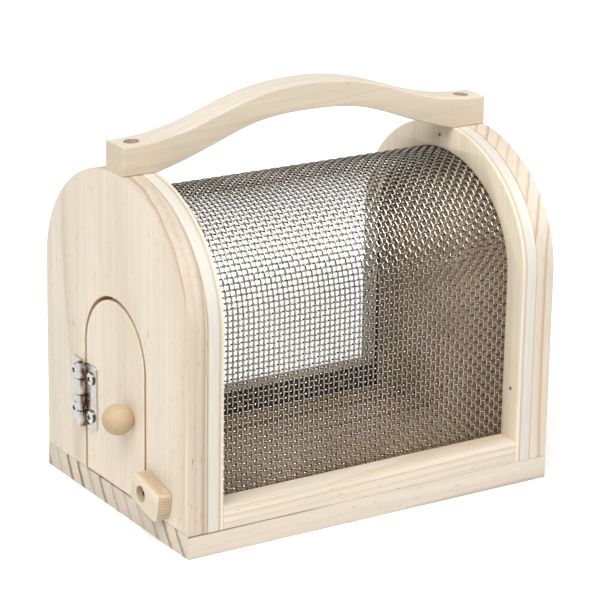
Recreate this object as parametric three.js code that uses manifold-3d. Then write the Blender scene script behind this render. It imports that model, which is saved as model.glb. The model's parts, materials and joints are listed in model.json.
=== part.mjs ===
// Insect observation box: a pine carrying box with arched ends, a wire screen bent over it,
// a clear sheet at the back, a small arched door with a turn-button latch, and a handle.
// Millimetres, +Z up. X runs along the box with the door end at -X, and the screened front is at -Y.
// The origin is the middle of the underside of the base board.

import * as THREE from 'three';
import { mergeVertices } from 'three/addons/utils/BufferGeometryUtils.js';
import Module from 'manifold-3d';

// Box
const LENGTH = 191;
const WIDTH = 130;
const BASE_THICKNESS = 10.5;
const PANEL_THICKNESS = 9.5;
const SPRING_HEIGHT = 100;
const ARCH_RISE = 56.7;

// Plywood frames inside the end panels, and the rails that join their feet
const FRAME_THICKNESS = 8;
const FRAME_WIDTH = 12;
const FRAME_SPRING_DROP = 2.5;
const FRONT_RAIL_HEIGHT = 10.5;
const BACK_RAIL_HEIGHT = 12;
const LEG_BRAD_HEIGHT = 45;

// Wire screen and clear sheet, both sprung against the inner edge of the frames
const SCREEN_WIRE = 0.9;
const SCREEN_GAPS_ALONG = 15;
const SCREEN_GAPS_AROUND = 20;
const SCREEN_FRONT_GAPS = 8;
const SCREEN_BAY_GAPS = 3;
const SHEET_THICKNESS = 1.2;
const SEAM_ANGLE = THREE.MathUtils.degToRad(42);
const SEAM_GAP = 0.4;
const FIXING_INSET = 20;

// Door
const DOOR_WIDTH = 52.8;
const DOOR_SPRING_HEIGHT = 71.5;
const DOOR_KERF = 1.8;
const DOOR_FOOT_GAP = 1;
const DOOR_RELIEF = 1.5;

// Hinge
const HINGE_HEIGHT = 30.5;
const HINGE_MIDDLE_HEIGHT = 47.2;
const LEAF_WIDTH = 11.6;
const LEAF_THICKNESS = 1;
const LEAF_CORNER = 2;
const BARREL_RADIUS = 2.3;
const BARREL_STAND_OFF = 0.2;
const KNUCKLES = 4;
const PIN_RADIUS = 1;
const HINGE_SCREW_PITCH = 18.2;
const HINGE_SCREW_INSET = 4.4;

// Knob
const KNOB_DIAMETER = 14;
const KNOB_FLAT_DEPTH = 0.8;
const KNOB_INSET = 12.4;
const KNOB_HEIGHT = 49;

// Latch
const LATCH_TIP = 14.3;
const LATCH_TAIL = 8.5;
const LATCH_DEPTH = 13.5;
const LATCH_THICKNESS = 7;
const LATCH_CORNER = 2.5;
const LATCH_TILT = THREE.MathUtils.degToRad(12);
const LATCH_HEIGHT = 22;
const LATCH_DOOR_GAP = 0.6;
const LATCH_COUNTERBORE_RADIUS = 3.8;
const LATCH_COUNTERBORE_DEPTH = 3.5;

// Handle
const HANDLE_WIDTH = 15.6;
const HANDLE_SETBACK = 0.4;
const HANDLE_END_HEIGHT = 13;
const HANDLE_RISE = 30.7;
const HANDLE_GRIP_DEPTH = 12.2;
const HANDLE_EDGE = 1;
const HANDLE_COUNTERBORE_RADIUS = 3.6;
const HANDLE_COUNTERBORE_DEPTH = 5;
const HANDLE_TOP_CURVE = { endPull: 0.55, gripPull: 0.45 };
const HANDLE_UNDER_CURVE = { pull: 0.48, lift: 0.56 };

// Clearance between pieces that move on, or are cut round, each other
const FIT = 0.3;

// Facets of round forms
const ARCH_SEGMENTS = 20;
const BARREL_SEGMENTS = 20;
const SCREW_SEGMENTS = 12;
const KNOB_SEGMENTS = 20;
const CORNER_SEGMENTS = 5;
const EDGE_SEGMENTS = 2;
const HEAD_TOP_SHARE = 0.6;

// Corners closer than this are one corner
const SAME_POINT = 1e-4;

// Fasteners: radius and height of the head, radius of the shank, rise of the head's dome, and whether
// the head is sunk, with a tapered underside, or sits flat on the surface
const BASE_SCREW_HOLD = 15;
const HANDLE_SCREW_HOLD = 8;
const PIN_HOLD = 6;
const STAPLE_HOLD = 4;
const POINT_COVER = 3;
const WOOD_SCREW = { head: 3.4, headHeight: 2.4, shank: 1.5, dome: 0, sunk: true };
const HANDLE_SCREW = { head: 3, headHeight: 2, shank: 1.5, dome: 0.6, sunk: false };
const HINGE_SCREW = { head: 3, headHeight: 1.5, shank: 1.1, dome: 0.8, sunk: false };
const KNOB_SCREW = { head: 3, headHeight: 1.6, shank: 1.4, dome: 0.6, sunk: false };
const LATCH_SCREW = { head: 3, headHeight: 1.8, shank: 1.4, dome: 0.6, sunk: false };
const BRAD = { head: 0.8, headHeight: 0.5, shank: 0.5, dome: 0, sunk: true };
const SHEET_PIN = { head: 1.7, headHeight: 0.7, shank: 0.6, dome: 0.3, sunk: false };
const STAPLE_CROWN = 7;
const STAPLE_WIRE = 0.8;

// Places worked out from the sizes above
const END_X = LENGTH / 2;
const HALF_WIDTH = WIDTH / 2;
const FLOOR = BASE_THICKNESS;
const PANEL_INNER_X = END_X - PANEL_THICKNESS;
const FRAME_INNER_X = PANEL_INNER_X - FRAME_THICKNESS;
const OPEN_HALF_WIDTH = HALF_WIDTH - FRAME_WIDTH;
const ROOF_TOP = SPRING_HEIGHT + ARCH_RISE;
const SEAT_HEIGHT = SPRING_HEIGHT + ARCH_RISE * Math.sqrt(1 - (HANDLE_WIDTH / WIDTH) ** 2);
const FRAME_SPRING_HEIGHT = SPRING_HEIGHT - FRAME_SPRING_DROP;
const FRAME_INNER_RISE = ROOF_TOP - FRAME_WIDTH - FRAME_SPRING_HEIGHT;
const DOOR_HALF_WIDTH = DOOR_WIDTH / 2;
const DOORWAY_HALF_WIDTH = DOOR_HALF_WIDTH + DOOR_KERF;
const AXIS_OUT = BARREL_RADIUS + BARREL_STAND_OFF;
const HINGE_AXIS = new THREE.Vector3(-END_X - AXIS_OUT, DOOR_HALF_WIDTH + DOOR_KERF / 2, 0);
const LEG_MIDDLE_Y = (DOORWAY_HALF_WIDTH + HALF_WIDTH) / 2;
const FRAME_MIDDLE_Y = HALF_WIDTH - FRAME_WIDTH / 2;

// Lengths of the fasteners, from the top of the head to the point
WOOD_SCREW.length = BASE_THICKNESS + BASE_SCREW_HOLD;
HANDLE_SCREW.length = HANDLE_SCREW.headHeight + HANDLE_END_HEIGHT - HANDLE_COUNTERBORE_DEPTH
  + HANDLE_SCREW_HOLD;
HINGE_SCREW.length = HINGE_SCREW.headHeight + FIT + LEAF_THICKNESS + PANEL_THICKNESS - POINT_COVER;
KNOB_SCREW.length = KNOB_SCREW.headHeight + PANEL_THICKNESS + KNOB_DIAMETER / 2;
LATCH_SCREW.length = LATCH_SCREW.headHeight + LATCH_THICKNESS - LATCH_COUNTERBORE_DEPTH + 2 * FIT
  + PANEL_THICKNESS - POINT_COVER;
BRAD.length = FRAME_THICKNESS + PANEL_THICKNESS - POINT_COVER;
SHEET_PIN.length = SHEET_PIN.headHeight + SHEET_THICKNESS + 2 * FIT + PIN_HOLD;
const STAPLE_LEG = STAPLE_WIRE + SCREEN_WIRE + 2 * FIT + STAPLE_HOLD;

const PINE = { color: 0xead8b6, roughness: 0.65, metalness: 0 };
const PLYWOOD = { color: 0xe8dcc4, roughness: 0.7, metalness: 0 };
const TURNED_WOOD = { color: 0xd8b98e, roughness: 0.5, metalness: 0 };
const STEEL = { color: 0xb9bcc0, roughness: 0.35, metalness: 1 };
const SCREEN_STEEL = { color: 0x77746e, roughness: 0.4, metalness: 1 };
const CLEAR_PLASTIC = { color: 0xf4f8f8, roughness: 0.1, metalness: 0 };

const wasm = await Module();
wasm.setup();

// Merges shared corners and drops the flat triangles that a revolved profile leaves on its axis
function closedMesh(geometry) {
  const bare = geometry.clone();
  bare.deleteAttribute('normal');
  bare.deleteAttribute('uv');
  const merged = mergeVertices(bare, SAME_POINT);
  const corners = Array.from(merged.index.array);
  const kept = [];
  for (let i = 0; i < corners.length; i += 3) {
    const [a, b, c] = corners.slice(i, i + 3);
    if (a !== b && b !== c && c !== a) kept.push(a, b, c);
  }
  merged.setIndex(kept);
  merged.computeVertexNormals();
  return merged;
}

function toSolid(geometry) {
  const mesh = closedMesh(geometry);
  return new wasm.Manifold(new wasm.Mesh({
    numProp: 3,
    vertProperties: new Float32Array(mesh.attributes.position.array),
    triVerts: new Uint32Array(mesh.index.array),
  }));
}

function toGeometry(solid) {
  const mesh = solid.getMesh();
  const geometry = new THREE.BufferGeometry();
  geometry.setAttribute('position', new THREE.BufferAttribute(mesh.vertProperties, 3));
  geometry.setIndex(new THREE.BufferAttribute(mesh.triVerts, 1));
  geometry.computeVertexNormals();
  return geometry;
}

function cut(geometry, tools) {
  return toGeometry(tools.reduce((solid, tool) => solid.subtract(toSolid(tool)), toSolid(geometry)));
}

function join(geometries) {
  return toGeometry(geometries.map(toSolid).reduce((solid, other) => solid.add(other)));
}

// An outline drawn in Y and Z, pushed along X between two places
function alongX(shape, one, other, curveSegments = ARCH_SEGMENTS) {
  const depth = Math.abs(other - one);
  const geometry = new THREE.ExtrudeGeometry(shape, { depth, bevelEnabled: false, curveSegments });
  const axes = new THREE.Matrix4().makeBasis(PLUS_Y, PLUS_Z, PLUS_X);
  return geometry.applyMatrix4(axes).translate(Math.min(one, other), 0, 0);
}

function block(x0, x1, y0, y1, z0, z1) {
  const geometry = new THREE.BoxGeometry(Math.abs(x1 - x0), Math.abs(y1 - y0), Math.abs(z1 - z0));
  return geometry.translate((x0 + x1) / 2, (y0 + y1) / 2, (z0 + z1) / 2);
}

// A round bar along one axis, from a point on its end face
function rod(radius, from, to, direction, segments) {
  const geometry = new THREE.CylinderGeometry(radius, radius, to - from, segments);
  geometry.translate(0, (from + to) / 2, 0);
  return geometry.applyQuaternion(new THREE.Quaternion().setFromUnitVectors(UP, direction));
}

const UP = new THREE.Vector3(0, 1, 0);
const PLUS_X = new THREE.Vector3(1, 0, 0);
const PLUS_Y = new THREE.Vector3(0, 1, 0);
const PLUS_Z = new THREE.Vector3(0, 0, 1);
const MINUS_X = new THREE.Vector3(-1, 0, 0);
const MINUS_Y = new THREE.Vector3(0, -1, 0);
const MINUS_Z = new THREE.Vector3(0, 0, -1);

const box = new THREE.Group();

function addPiece(parent, name, geometry, finish) {
  const mesh = new THREE.Mesh(geometry, new THREE.MeshStandardMaterial(finish));
  mesh.name = name;
  parent.add(mesh);
  return mesh;
}

// Screw, brad or pin: a head, a plain shank and a point, revolved about its axis. The top of the
// head is at the origin and the point lies along -Y.
function fastenerShape({ head, headHeight, shank, length, dome, sunk }) {
  const profile = [
    new THREE.Vector2(0, -length),
    new THREE.Vector2(shank, -length + shank),
    new THREE.Vector2(shank, -headHeight),
    new THREE.Vector2(head, sunk ? -dome : -headHeight),
    new THREE.Vector2(head, -dome),
    new THREE.Vector2(head * HEAD_TOP_SHARE, 0),
    new THREE.Vector2(0, 0),
  ];
  return new THREE.LatheGeometry(profile, SCREW_SEGMENTS);
}

// The hole for a fastener: its shank, and its head where that is sunk, with clearance all round
function fastenerHole({ head, headHeight, shank, length, dome, sunk }) {
  const mouth = (sunk ? head : shank) + FIT;
  const profile = [
    new THREE.Vector2(0, -length - FIT),
    new THREE.Vector2(shank + FIT, -length + shank - FIT),
    new THREE.Vector2(shank + FIT, -headHeight - FIT),
    new THREE.Vector2(mouth, -dome - FIT),
    new THREE.Vector2(mouth, FIT),
    new THREE.Vector2(0, FIT),
  ];
  return new THREE.LatheGeometry(profile, SCREW_SEGMENTS);
}

// Places a fastener with its head at a point and its shank running in a direction
function aim(geometry, at, direction) {
  const turn = new THREE.Quaternion().setFromUnitVectors(UP.clone().negate(), direction);
  return geometry.applyQuaternion(turn).translate(at.x, at.y, at.z);
}

function addFastener(parent, name, kind, at, direction) {
  const mesh = addPiece(parent, name, closedMesh(fastenerShape(kind)), STEEL);
  mesh.position.copy(at);
  mesh.quaternion.setFromUnitVectors(UP.clone().negate(), direction);
}

function holeFor(kind, at, direction) {
  return aim(fastenerHole(kind), at, direction);
}

// Arched outline standing on the base board, with a flat crown under the handle and, where an inner
// arch is given, an opening of that form which runs down to the foot
function archOutline(inner) {
  const crownAngle = Math.acos(HANDLE_WIDTH / WIDTH);
  const outline = new THREE.Shape();
  outline.moveTo(HALF_WIDTH, FLOOR);
  outline.lineTo(HALF_WIDTH, SPRING_HEIGHT);
  outline.absellipse(0, SPRING_HEIGHT, HALF_WIDTH, ARCH_RISE, 0, crownAngle, false, 0);
  outline.absellipse(0, SPRING_HEIGHT, HALF_WIDTH, ARCH_RISE, Math.PI - crownAngle, Math.PI, false, 0);
  outline.lineTo(-HALF_WIDTH, FLOOR);
  if (inner) {
    outline.lineTo(-inner.half, FLOOR);
    outline.lineTo(-inner.half, inner.spring);
    outline.absellipse(0, inner.spring, inner.half, inner.rise, Math.PI, 0, true, 0);
    outline.lineTo(inner.half, FLOOR);
  }
  outline.closePath();
  return outline;
}

// Fasteners that hold the fixed pieces together
const ends = [{ name: 'door_end', side: -1 }, { name: 'plain_end', side: 1 }];
const sides = [
  { name: 'front', side: -1, railHeight: FRONT_RAIL_HEIGHT },
  { name: 'back', side: 1, railHeight: BACK_RAIL_HEIGHT },
];
const seatMiddleX = (END_X + FRAME_INNER_X) / 2;
const handleBoreFloor = SEAT_HEIGHT + HANDLE_END_HEIGHT - HANDLE_COUNTERBORE_DEPTH;
const bradSpots = [
  { name: 'crown', y: HANDLE_SCREW.shank + BRAD.shank + 4 * FIT, z: ROOF_TOP - FRAME_WIDTH / 2 },
  { name: 'front_leg', y: -FRAME_MIDDLE_Y, z: LEG_BRAD_HEIGHT },
  { name: 'back_leg', y: FRAME_MIDDLE_Y, z: LEG_BRAD_HEIGHT },
];

function baseScrewSpots({ side }) {
  const x = side * (END_X - PANEL_THICKNESS / 2);
  return sides.map((long) => ({
    name: long.name, at: new THREE.Vector3(x, long.side * LEG_MIDDLE_Y, 0),
  }));
}

function bradPlaces({ side }) {
  return bradSpots.map(({ name, y, z }) => ({ name, at: new THREE.Vector3(side * FRAME_INNER_X, y, z) }));
}

function outwards({ side }) {
  return side > 0 ? PLUS_X : MINUS_X;
}

function handleScrewSpot({ side }) {
  return new THREE.Vector3(side * seatMiddleX, 0, handleBoreFloor + HANDLE_SCREW.headHeight);
}

// Base board, bored from below for the four screws that hold the end panels
const baseBores = ends.flatMap(baseScrewSpots).map(({ at }) => holeFor(WOOD_SCREW, at, PLUS_Z));
const baseBlank = block(-END_X, END_X, -HALF_WIDTH, HALF_WIDTH, 0, BASE_THICKNESS);
addPiece(box, 'base_board', cut(baseBlank, baseBores), PINE);

// Latch pivot: the shorter end of the turn button just clears the free edge of the door
const latchReach = (LATCH_TAIL - LATCH_CORNER) * Math.cos(LATCH_TILT)
  + (LATCH_DEPTH / 2 - LATCH_CORNER) * Math.sin(LATCH_TILT) + LATCH_CORNER;
const LATCH_PIVOT = new THREE.Vector3(
  -END_X, -DOOR_HALF_WIDTH - LATCH_DOOR_GAP - latchReach, LATCH_HEIGHT);
const latchBack = FIT;
const latchFace = latchBack + LATCH_THICKNESS;
const latchScrewAt = LATCH_PIVOT.clone();
latchScrewAt.x -= latchFace - LATCH_COUNTERBORE_DEPTH + LATCH_SCREW.headHeight + FIT;

// Hinge screw places, measured across from the hinge line
const hingeScrewY = LEAF_WIDTH - HINGE_SCREW_INSET;
const hingeScrewZ = [-1, 1].map((side) => HINGE_MIDDLE_HEIGHT + side * HINGE_SCREW_PITCH / 2);
const hingeScrewX = -END_X - LEAF_THICKNESS - FIT - HINGE_SCREW.headHeight;
function hingeScrewSpots(side) {
  return hingeScrewZ.map((z) => new THREE.Vector3(hingeScrewX, HINGE_AXIS.y + side * hingeScrewY, z));
}

// End panels: the door end has the doorway cut out of it, and its bores for hinge and latch screws
const doorway = { half: DOORWAY_HALF_WIDTH, spring: DOOR_SPRING_HEIGHT, rise: DOORWAY_HALF_WIDTH };
for (const end of ends) {
  const isDoorEnd = end.name === 'door_end';
  const board = alongX(archOutline(isDoorEnd ? doorway : null), end.side * PANEL_INNER_X, end.side * END_X);
  const bores = baseScrewSpots(end).map(({ at }) => holeFor(WOOD_SCREW, at, PLUS_Z));
  bores.push(holeFor(HANDLE_SCREW, handleScrewSpot(end), MINUS_Z));
  bradPlaces(end).forEach(({ at }) => bores.push(holeFor(BRAD, at, outwards(end))));
  if (isDoorEnd) {
    hingeScrewSpots(1).forEach((at) => bores.push(holeFor(HINGE_SCREW, at, PLUS_X)));
    bores.push(holeFor(LATCH_SCREW, latchScrewAt, PLUS_X));
  }
  addPiece(box, `${end.name}_panel`, cut(board, bores), PINE);
  baseScrewSpots(end).forEach(({ name, at }) => {
    addFastener(box, `base_screw_${end.name}_${name}`, WOOD_SCREW, at, PLUS_Z);
  });
}

// Plywood frames: an arch of even width inside each panel, held to it by brads
const frameOpening = { half: OPEN_HALF_WIDTH, spring: FRAME_SPRING_HEIGHT, rise: FRAME_INNER_RISE };
for (const end of ends) {
  const arch = alongX(archOutline(frameOpening), end.side * FRAME_INNER_X, end.side * PANEL_INNER_X);
  const bores = bradPlaces(end).map(({ at }) => holeFor(BRAD, at, outwards(end)));
  bores.push(holeFor(HANDLE_SCREW, handleScrewSpot(end), MINUS_Z));
  addPiece(box, `${end.name}_frame`, cut(arch, bores), PLYWOOD);
  bradPlaces(end).forEach(({ name, at }) => {
    addFastener(box, `frame_brad_${end.name}_${name}`, BRAD, at, outwards(end));
  });
}

// The line that the screen and the sheet follow, up the front, over the top and down the back,
// at the middle of a layer of a given thickness
function screenLine(thickness) {
  const inset = FIT + thickness / 2;
  const half = OPEN_HALF_WIDTH - inset;
  const rise = FRAME_INNER_RISE - inset;
  const front = new THREE.Path();
  front.moveTo(-half, FLOOR + FIT);
  front.lineTo(-half, FRAME_SPRING_HEIGHT);
  front.absellipse(0, FRAME_SPRING_HEIGHT, half, rise, Math.PI, SEAM_ANGLE, true, 0);
  const back = new THREE.Path();
  back.absellipse(0, FRAME_SPRING_HEIGHT, half, rise, SEAM_ANGLE, 0, true, 0);
  back.lineTo(half, FLOOR + FIT);
  return { front, back };
}

const screenLength = 2 * (PANEL_INNER_X - FIT);
const fixingPitch = FRAME_INNER_X - FIXING_INSET;

// Wire screen: a square grid of wires on the bent surface, in bays that meet edge to edge: one up the
// flat front and then a few round the bend. Each wire is a strip between two grid lines, so the grid
// has two lines for each wire, and a cell is open where neither direction has wire.
function gridLines(length, gaps) {
  const pitch = (length - SCREEN_WIRE) / gaps;
  const places = [];
  for (let wire = 0; wire <= gaps; wire += 1) {
    places.push(wire * pitch, wire * pitch + SCREEN_WIRE);
  }
  return places;
}

function screenGeometry(firstRow, endRow) {
  const line = screenLine(SCREEN_WIRE).front;
  const around = gridLines(line.getLength(), SCREEN_GAPS_AROUND);
  const along = gridLines(screenLength, SCREEN_GAPS_ALONG);
  const points = [];
  const faces = [];
  const index = (row, column, layer) => (row * along.length + column) * 2 + layer;
  for (const distance of around) {
    const share = Math.min(1, distance / line.getLength());
    const middle = line.getPointAt(share);
    const heading = line.getTangentAt(share);
    for (const x of along) {
      for (const side of [-1, 1]) {
        const offset = side * SCREEN_WIRE / 2;
        points.push(x - screenLength / 2, middle.x - heading.y * offset, middle.y + heading.x * offset);
      }
    }
  }
  const hasWire = (row, column) => row >= firstRow && row < endRow && column >= 0
    && column < along.length - 1 && (row % 2 === 0 || column % 2 === 0);
  const quad = (a, b, c, d) => faces.push(a, b, c, a, c, d);
  for (let row = firstRow; row < endRow; row += 1) {
    for (let column = 0; column < along.length - 1; column += 1) {
      if (!hasWire(row, column)) continue;
      const corners = [[row, column], [row, column + 1], [row + 1, column + 1], [row + 1, column]];
      const neighbours = [[row - 1, column], [row, column + 1], [row + 1, column], [row, column - 1]];
      const [inner, outer] = [0, 1].map((layer) => corners.map(([r, c]) => index(r, c, layer)));
      quad(...outer);
      quad(...inner.slice().reverse());
      neighbours.forEach((cell, edge) => {
        const next = (edge + 1) % 4;
        if (!hasWire(...cell)) quad(inner[edge], inner[next], outer[next], outer[edge]);
      });
    }
  }
  const geometry = new THREE.BufferGeometry();
  geometry.setAttribute('position', new THREE.Float32BufferAttribute(points, 3));
  geometry.setIndex(faces);
  return closedMesh(geometry);
}

const screenRows = 2 * SCREEN_GAPS_AROUND + 1;
const bendStart = 2 * SCREEN_FRONT_GAPS;
addPiece(box, 'wire_screen_front', screenGeometry(0, bendStart), SCREEN_STEEL);
for (let first = bendStart, bay = 1; first < screenRows - 1; first += 2 * SCREEN_BAY_GAPS, bay += 1) {
  const next = first + 2 * SCREEN_BAY_GAPS;
  const end = next < screenRows - 1 ? next : screenRows;
  addPiece(box, `wire_screen_bend_${bay}`, screenGeometry(first, end), SCREEN_STEEL);
}

// Clear sheet: the same bend as the screen, from just past its edge down behind the back rail
const fixingHeight = FLOOR + FRONT_RAIL_HEIGHT / 2;
const sheetPinSpots = [-1, 0, 1].map((step) => new THREE.Vector3(
  step * fixingPitch,
  OPEN_HALF_WIDTH - 2 * FIT - SHEET_THICKNESS - SHEET_PIN.headHeight,
  fixingHeight,
));

function sheetGeometry() {
  const line = screenLine(SHEET_THICKNESS).back;
  const first = SEAM_GAP / line.getLength();
  const steps = 2 * ARCH_SEGMENTS;
  const shares = Array.from({ length: steps + 1 }, (_, i) => Math.min(1, first + (1 - first) * i / steps));
  const sideLine = (side) => shares.map((share) => {
    const heading = line.getTangentAt(share);
    const normal = new THREE.Vector2(-heading.y, heading.x);
    return line.getPointAt(share).addScaledVector(normal, side * SHEET_THICKNESS / 2);
  });
  const outline = new THREE.Shape([...sideLine(-1), ...sideLine(1).reverse()]);
  const sheet = alongX(outline, -screenLength / 2, screenLength / 2);
  return cut(sheet, sheetPinSpots.map((at) => holeFor(SHEET_PIN, at, PLUS_Y)));
}

addPiece(box, 'clear_sheet', sheetGeometry(), CLEAR_PLASTIC);
sheetPinSpots.forEach((at, i) => addFastener(box, `sheet_pin_${i + 1}`, SHEET_PIN, at, PLUS_Y));

// Staples that hold the foot of the screen to the back of the front rail. Each straddles one
// upright wire, with its legs in the gaps beside it.
function stapleGeometry(room) {
  const outer = STAPLE_CROWN / 2 + room;
  const inner = STAPLE_CROWN / 2 - STAPLE_WIRE - room;
  const outline = new THREE.Shape();
  outline.moveTo(-outer, room);
  outline.lineTo(-outer, -STAPLE_LEG - room);
  outline.lineTo(-inner, -STAPLE_LEG - room);
  outline.lineTo(-inner, -STAPLE_WIRE - room);
  outline.lineTo(inner, -STAPLE_WIRE - room);
  outline.lineTo(inner, -STAPLE_LEG - room);
  outline.lineTo(outer, -STAPLE_LEG - room);
  outline.lineTo(outer, room);
  outline.closePath();
  const depth = STAPLE_WIRE + 2 * room;
  return new THREE.ExtrudeGeometry(outline, { depth, bevelEnabled: false }).translate(0, 0, -depth / 2);
}

const uprights = gridLines(screenLength, SCREEN_GAPS_ALONG).filter((_, i) => i % 2 === 0)
  .map((x) => x + SCREEN_WIRE / 2 - screenLength / 2);
const stapleY = -OPEN_HALF_WIDTH + 2 * FIT + SCREEN_WIRE + STAPLE_WIRE;
const nearestUpright = (x) => uprights.reduce((a, b) => (Math.abs(b - x) < Math.abs(a - x) ? b : a));
const stapleSpots = [-1, 0, 1].map((step) => new THREE.Vector3(
  nearestUpright(step * fixingPitch), stapleY, fixingHeight));
stapleSpots.forEach((at, i) => {
  const staple = addPiece(box, `screen_staple_${i + 1}`, stapleGeometry(0), STEEL);
  staple.position.copy(at);
});

// Rails between the feet of the frames, flush with the long sides of the base board
for (const long of sides) {
  const faceY = long.side * HALF_WIDTH;
  const roomY = long.side * OPEN_HALF_WIDTH;
  const rail = block(-FRAME_INNER_X, FRAME_INNER_X, faceY, roomY, FLOOR, FLOOR + long.railHeight);
  const bores = long.name === 'front'
    ? stapleSpots.map((at) => stapleGeometry(FIT).translate(at.x, at.y, at.z))
    : sheetPinSpots.map((at) => holeFor(SHEET_PIN, at, PLUS_Y));
  addPiece(box, `${long.name}_rail`, cut(rail, bores), PINE);
}

// Handle: flat seats on both crowns, then an easy S-curve up to the grip, with eased edges and a
// counterbored screw through each seat
function handleGeometry() {
  const end = END_X - HANDLE_SETBACK - HANDLE_EDGE;
  const seatEnd = FRAME_INNER_X - HANDLE_EDGE;
  const bottom = HANDLE_EDGE;
  const endTop = HANDLE_END_HEIGHT - HANDLE_EDGE;
  const gripTop = HANDLE_RISE - HANDLE_EDGE;
  const gripBottom = HANDLE_RISE - HANDLE_GRIP_DEPTH + HANDLE_EDGE;
  const underX = seatEnd * HANDLE_UNDER_CURVE.pull;
  const underLift = bottom + gripBottom * HANDLE_UNDER_CURVE.lift;
  const { endPull, gripPull } = HANDLE_TOP_CURVE;
  const outline = new THREE.Shape();
  outline.moveTo(-end, bottom);
  outline.lineTo(-seatEnd, bottom);
  outline.bezierCurveTo(-underX, underLift, -underX, gripBottom, 0, gripBottom);
  outline.bezierCurveTo(underX, gripBottom, underX, underLift, seatEnd, bottom);
  outline.lineTo(end, bottom);
  outline.lineTo(end, endTop);
  outline.bezierCurveTo(end * endPull, endTop, end * gripPull, gripTop, 0, gripTop);
  outline.bezierCurveTo(-end * gripPull, gripTop, -end * endPull, endTop, -end, endTop);
  outline.closePath();
  const depth = HANDLE_WIDTH - 2 * HANDLE_EDGE;
  const bar = new THREE.ExtrudeGeometry(outline, {
    depth,
    curveSegments: ARCH_SEGMENTS,
    bevelThickness: HANDLE_EDGE,
    bevelSize: HANDLE_EDGE,
    bevelSegments: EDGE_SEGMENTS,
  });
  const axes = new THREE.Matrix4().makeBasis(PLUS_X, PLUS_Z, MINUS_Y);
  bar.applyMatrix4(axes).translate(0, depth / 2, SEAT_HEIGHT);
  const boreTop = SEAT_HEIGHT + HANDLE_RISE;
  const bores = ends.flatMap((place) => {
    const at = handleScrewSpot(place);
    const wide = rod(HANDLE_COUNTERBORE_RADIUS, handleBoreFloor, boreTop, PLUS_Z, BARREL_SEGMENTS);
    return [wide.translate(at.x, 0, 0), holeFor(HANDLE_SCREW, at, MINUS_Z)];
  });
  return cut(bar, bores);
}

addPiece(box, 'handle', handleGeometry(), PINE);
ends.forEach((end) => {
  addFastener(box, `handle_screw_${end.name}`, HANDLE_SCREW, handleScrewSpot(end), MINUS_Z);
});

// Hinge leaf: a plate with rounded outer corners and every second knuckle, bored for pin and screws.
// Drawn about the hinge line with its plate towards +Y, then turned over for a leaf on the other side.
function leafGeometry(side) {
  const turnedOver = side < 0;
  const firstKnuckle = turnedOver ? KNUCKLES % 2 : 0;
  const bottom = HINGE_MIDDLE_HEIGHT - HINGE_HEIGHT / 2;
  const top = bottom + HINGE_HEIGHT;
  const inner = BARREL_RADIUS + FIT;
  const outline = new THREE.Shape();
  outline.moveTo(inner, bottom);
  outline.lineTo(LEAF_WIDTH - LEAF_CORNER, bottom);
  outline.absarc(LEAF_WIDTH - LEAF_CORNER, bottom + LEAF_CORNER, LEAF_CORNER, -Math.PI / 2, 0, false);
  outline.absarc(LEAF_WIDTH - LEAF_CORNER, top - LEAF_CORNER, LEAF_CORNER, 0, Math.PI / 2, false);
  outline.lineTo(inner, top);
  outline.closePath();
  const plate = alongX(outline, AXIS_OUT - LEAF_THICKNESS, AXIS_OUT, CORNER_SEGMENTS);
  const pitch = HINGE_HEIGHT / KNUCKLES;
  const parts = [plate];
  for (let i = firstKnuckle; i < KNUCKLES; i += 2) {
    const low = bottom + i * pitch + FIT / 2;
    const high = low + pitch - FIT;
    parts.push(rod(BARREL_RADIUS, low, high, PLUS_Z, BARREL_SEGMENTS));
    parts.push(block(AXIS_OUT - LEAF_THICKNESS, AXIS_OUT, 0, inner + FIT, low, high));
  }
  const whole = join(parts);
  if (turnedOver) {
    whole.rotateX(Math.PI);
    whole.translate(0, 0, 2 * HINGE_MIDDLE_HEIGHT);
  }
  const bores = [rod(PIN_RADIUS + FIT, bottom - FIT, top + FIT, PLUS_Z, BARREL_SEGMENTS)];
  hingeScrewSpots(side).forEach((at) => bores.push(holeFor(HINGE_SCREW, at.sub(HINGE_AXIS), PLUS_X)));
  return cut(whole, bores);
}

const hinge = new THREE.Group();
hinge.position.copy(HINGE_AXIS);
box.add(hinge);
addPiece(hinge, 'hinge_frame_leaf', leafGeometry(1), STEEL);
const pinFoot = HINGE_MIDDLE_HEIGHT - HINGE_HEIGHT / 2;
const pin = rod(PIN_RADIUS, pinFoot, pinFoot + HINGE_HEIGHT, PLUS_Z, BARREL_SEGMENTS);
addPiece(hinge, 'hinge_pin', pin, STEEL);
hingeScrewSpots(1).forEach((at, i) => {
  addFastener(hinge, `hinge_frame_screw_${i + 1}`, HINGE_SCREW, at.sub(HINGE_AXIS), PLUS_X);
});

// Door: sawn from the panel, a kerf smaller all round. Its free edge leans in towards the back, so
// that the inner corner swings clear of the doorway. Drawn about the hinge line.
const door = new THREE.Group();
door.position.copy(HINGE_AXIS);
box.add(door);
const doorFaceX = AXIS_OUT;
const doorMiddleY = -HINGE_AXIS.y;

function doorOutline(relief) {
  const outline = new THREE.Shape();
  outline.moveTo(DOOR_HALF_WIDTH, FLOOR + DOOR_FOOT_GAP);
  outline.lineTo(DOOR_HALF_WIDTH, DOOR_SPRING_HEIGHT);
  outline.absellipse(0, DOOR_SPRING_HEIGHT, DOOR_HALF_WIDTH, DOOR_HALF_WIDTH, 0, Math.PI / 2, false, 0);
  const free = DOOR_HALF_WIDTH - relief;
  outline.absellipse(0, DOOR_SPRING_HEIGHT, free, DOOR_HALF_WIDTH, Math.PI / 2, Math.PI, false, 0);
  outline.lineTo(-free, FLOOR + DOOR_FOOT_GAP);
  const points = outline.getPoints(ARCH_SEGMENTS / 2);
  return points.filter((point, i) => i === 0 || point.distanceTo(points[i - 1]) > SAME_POINT);
}

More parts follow.
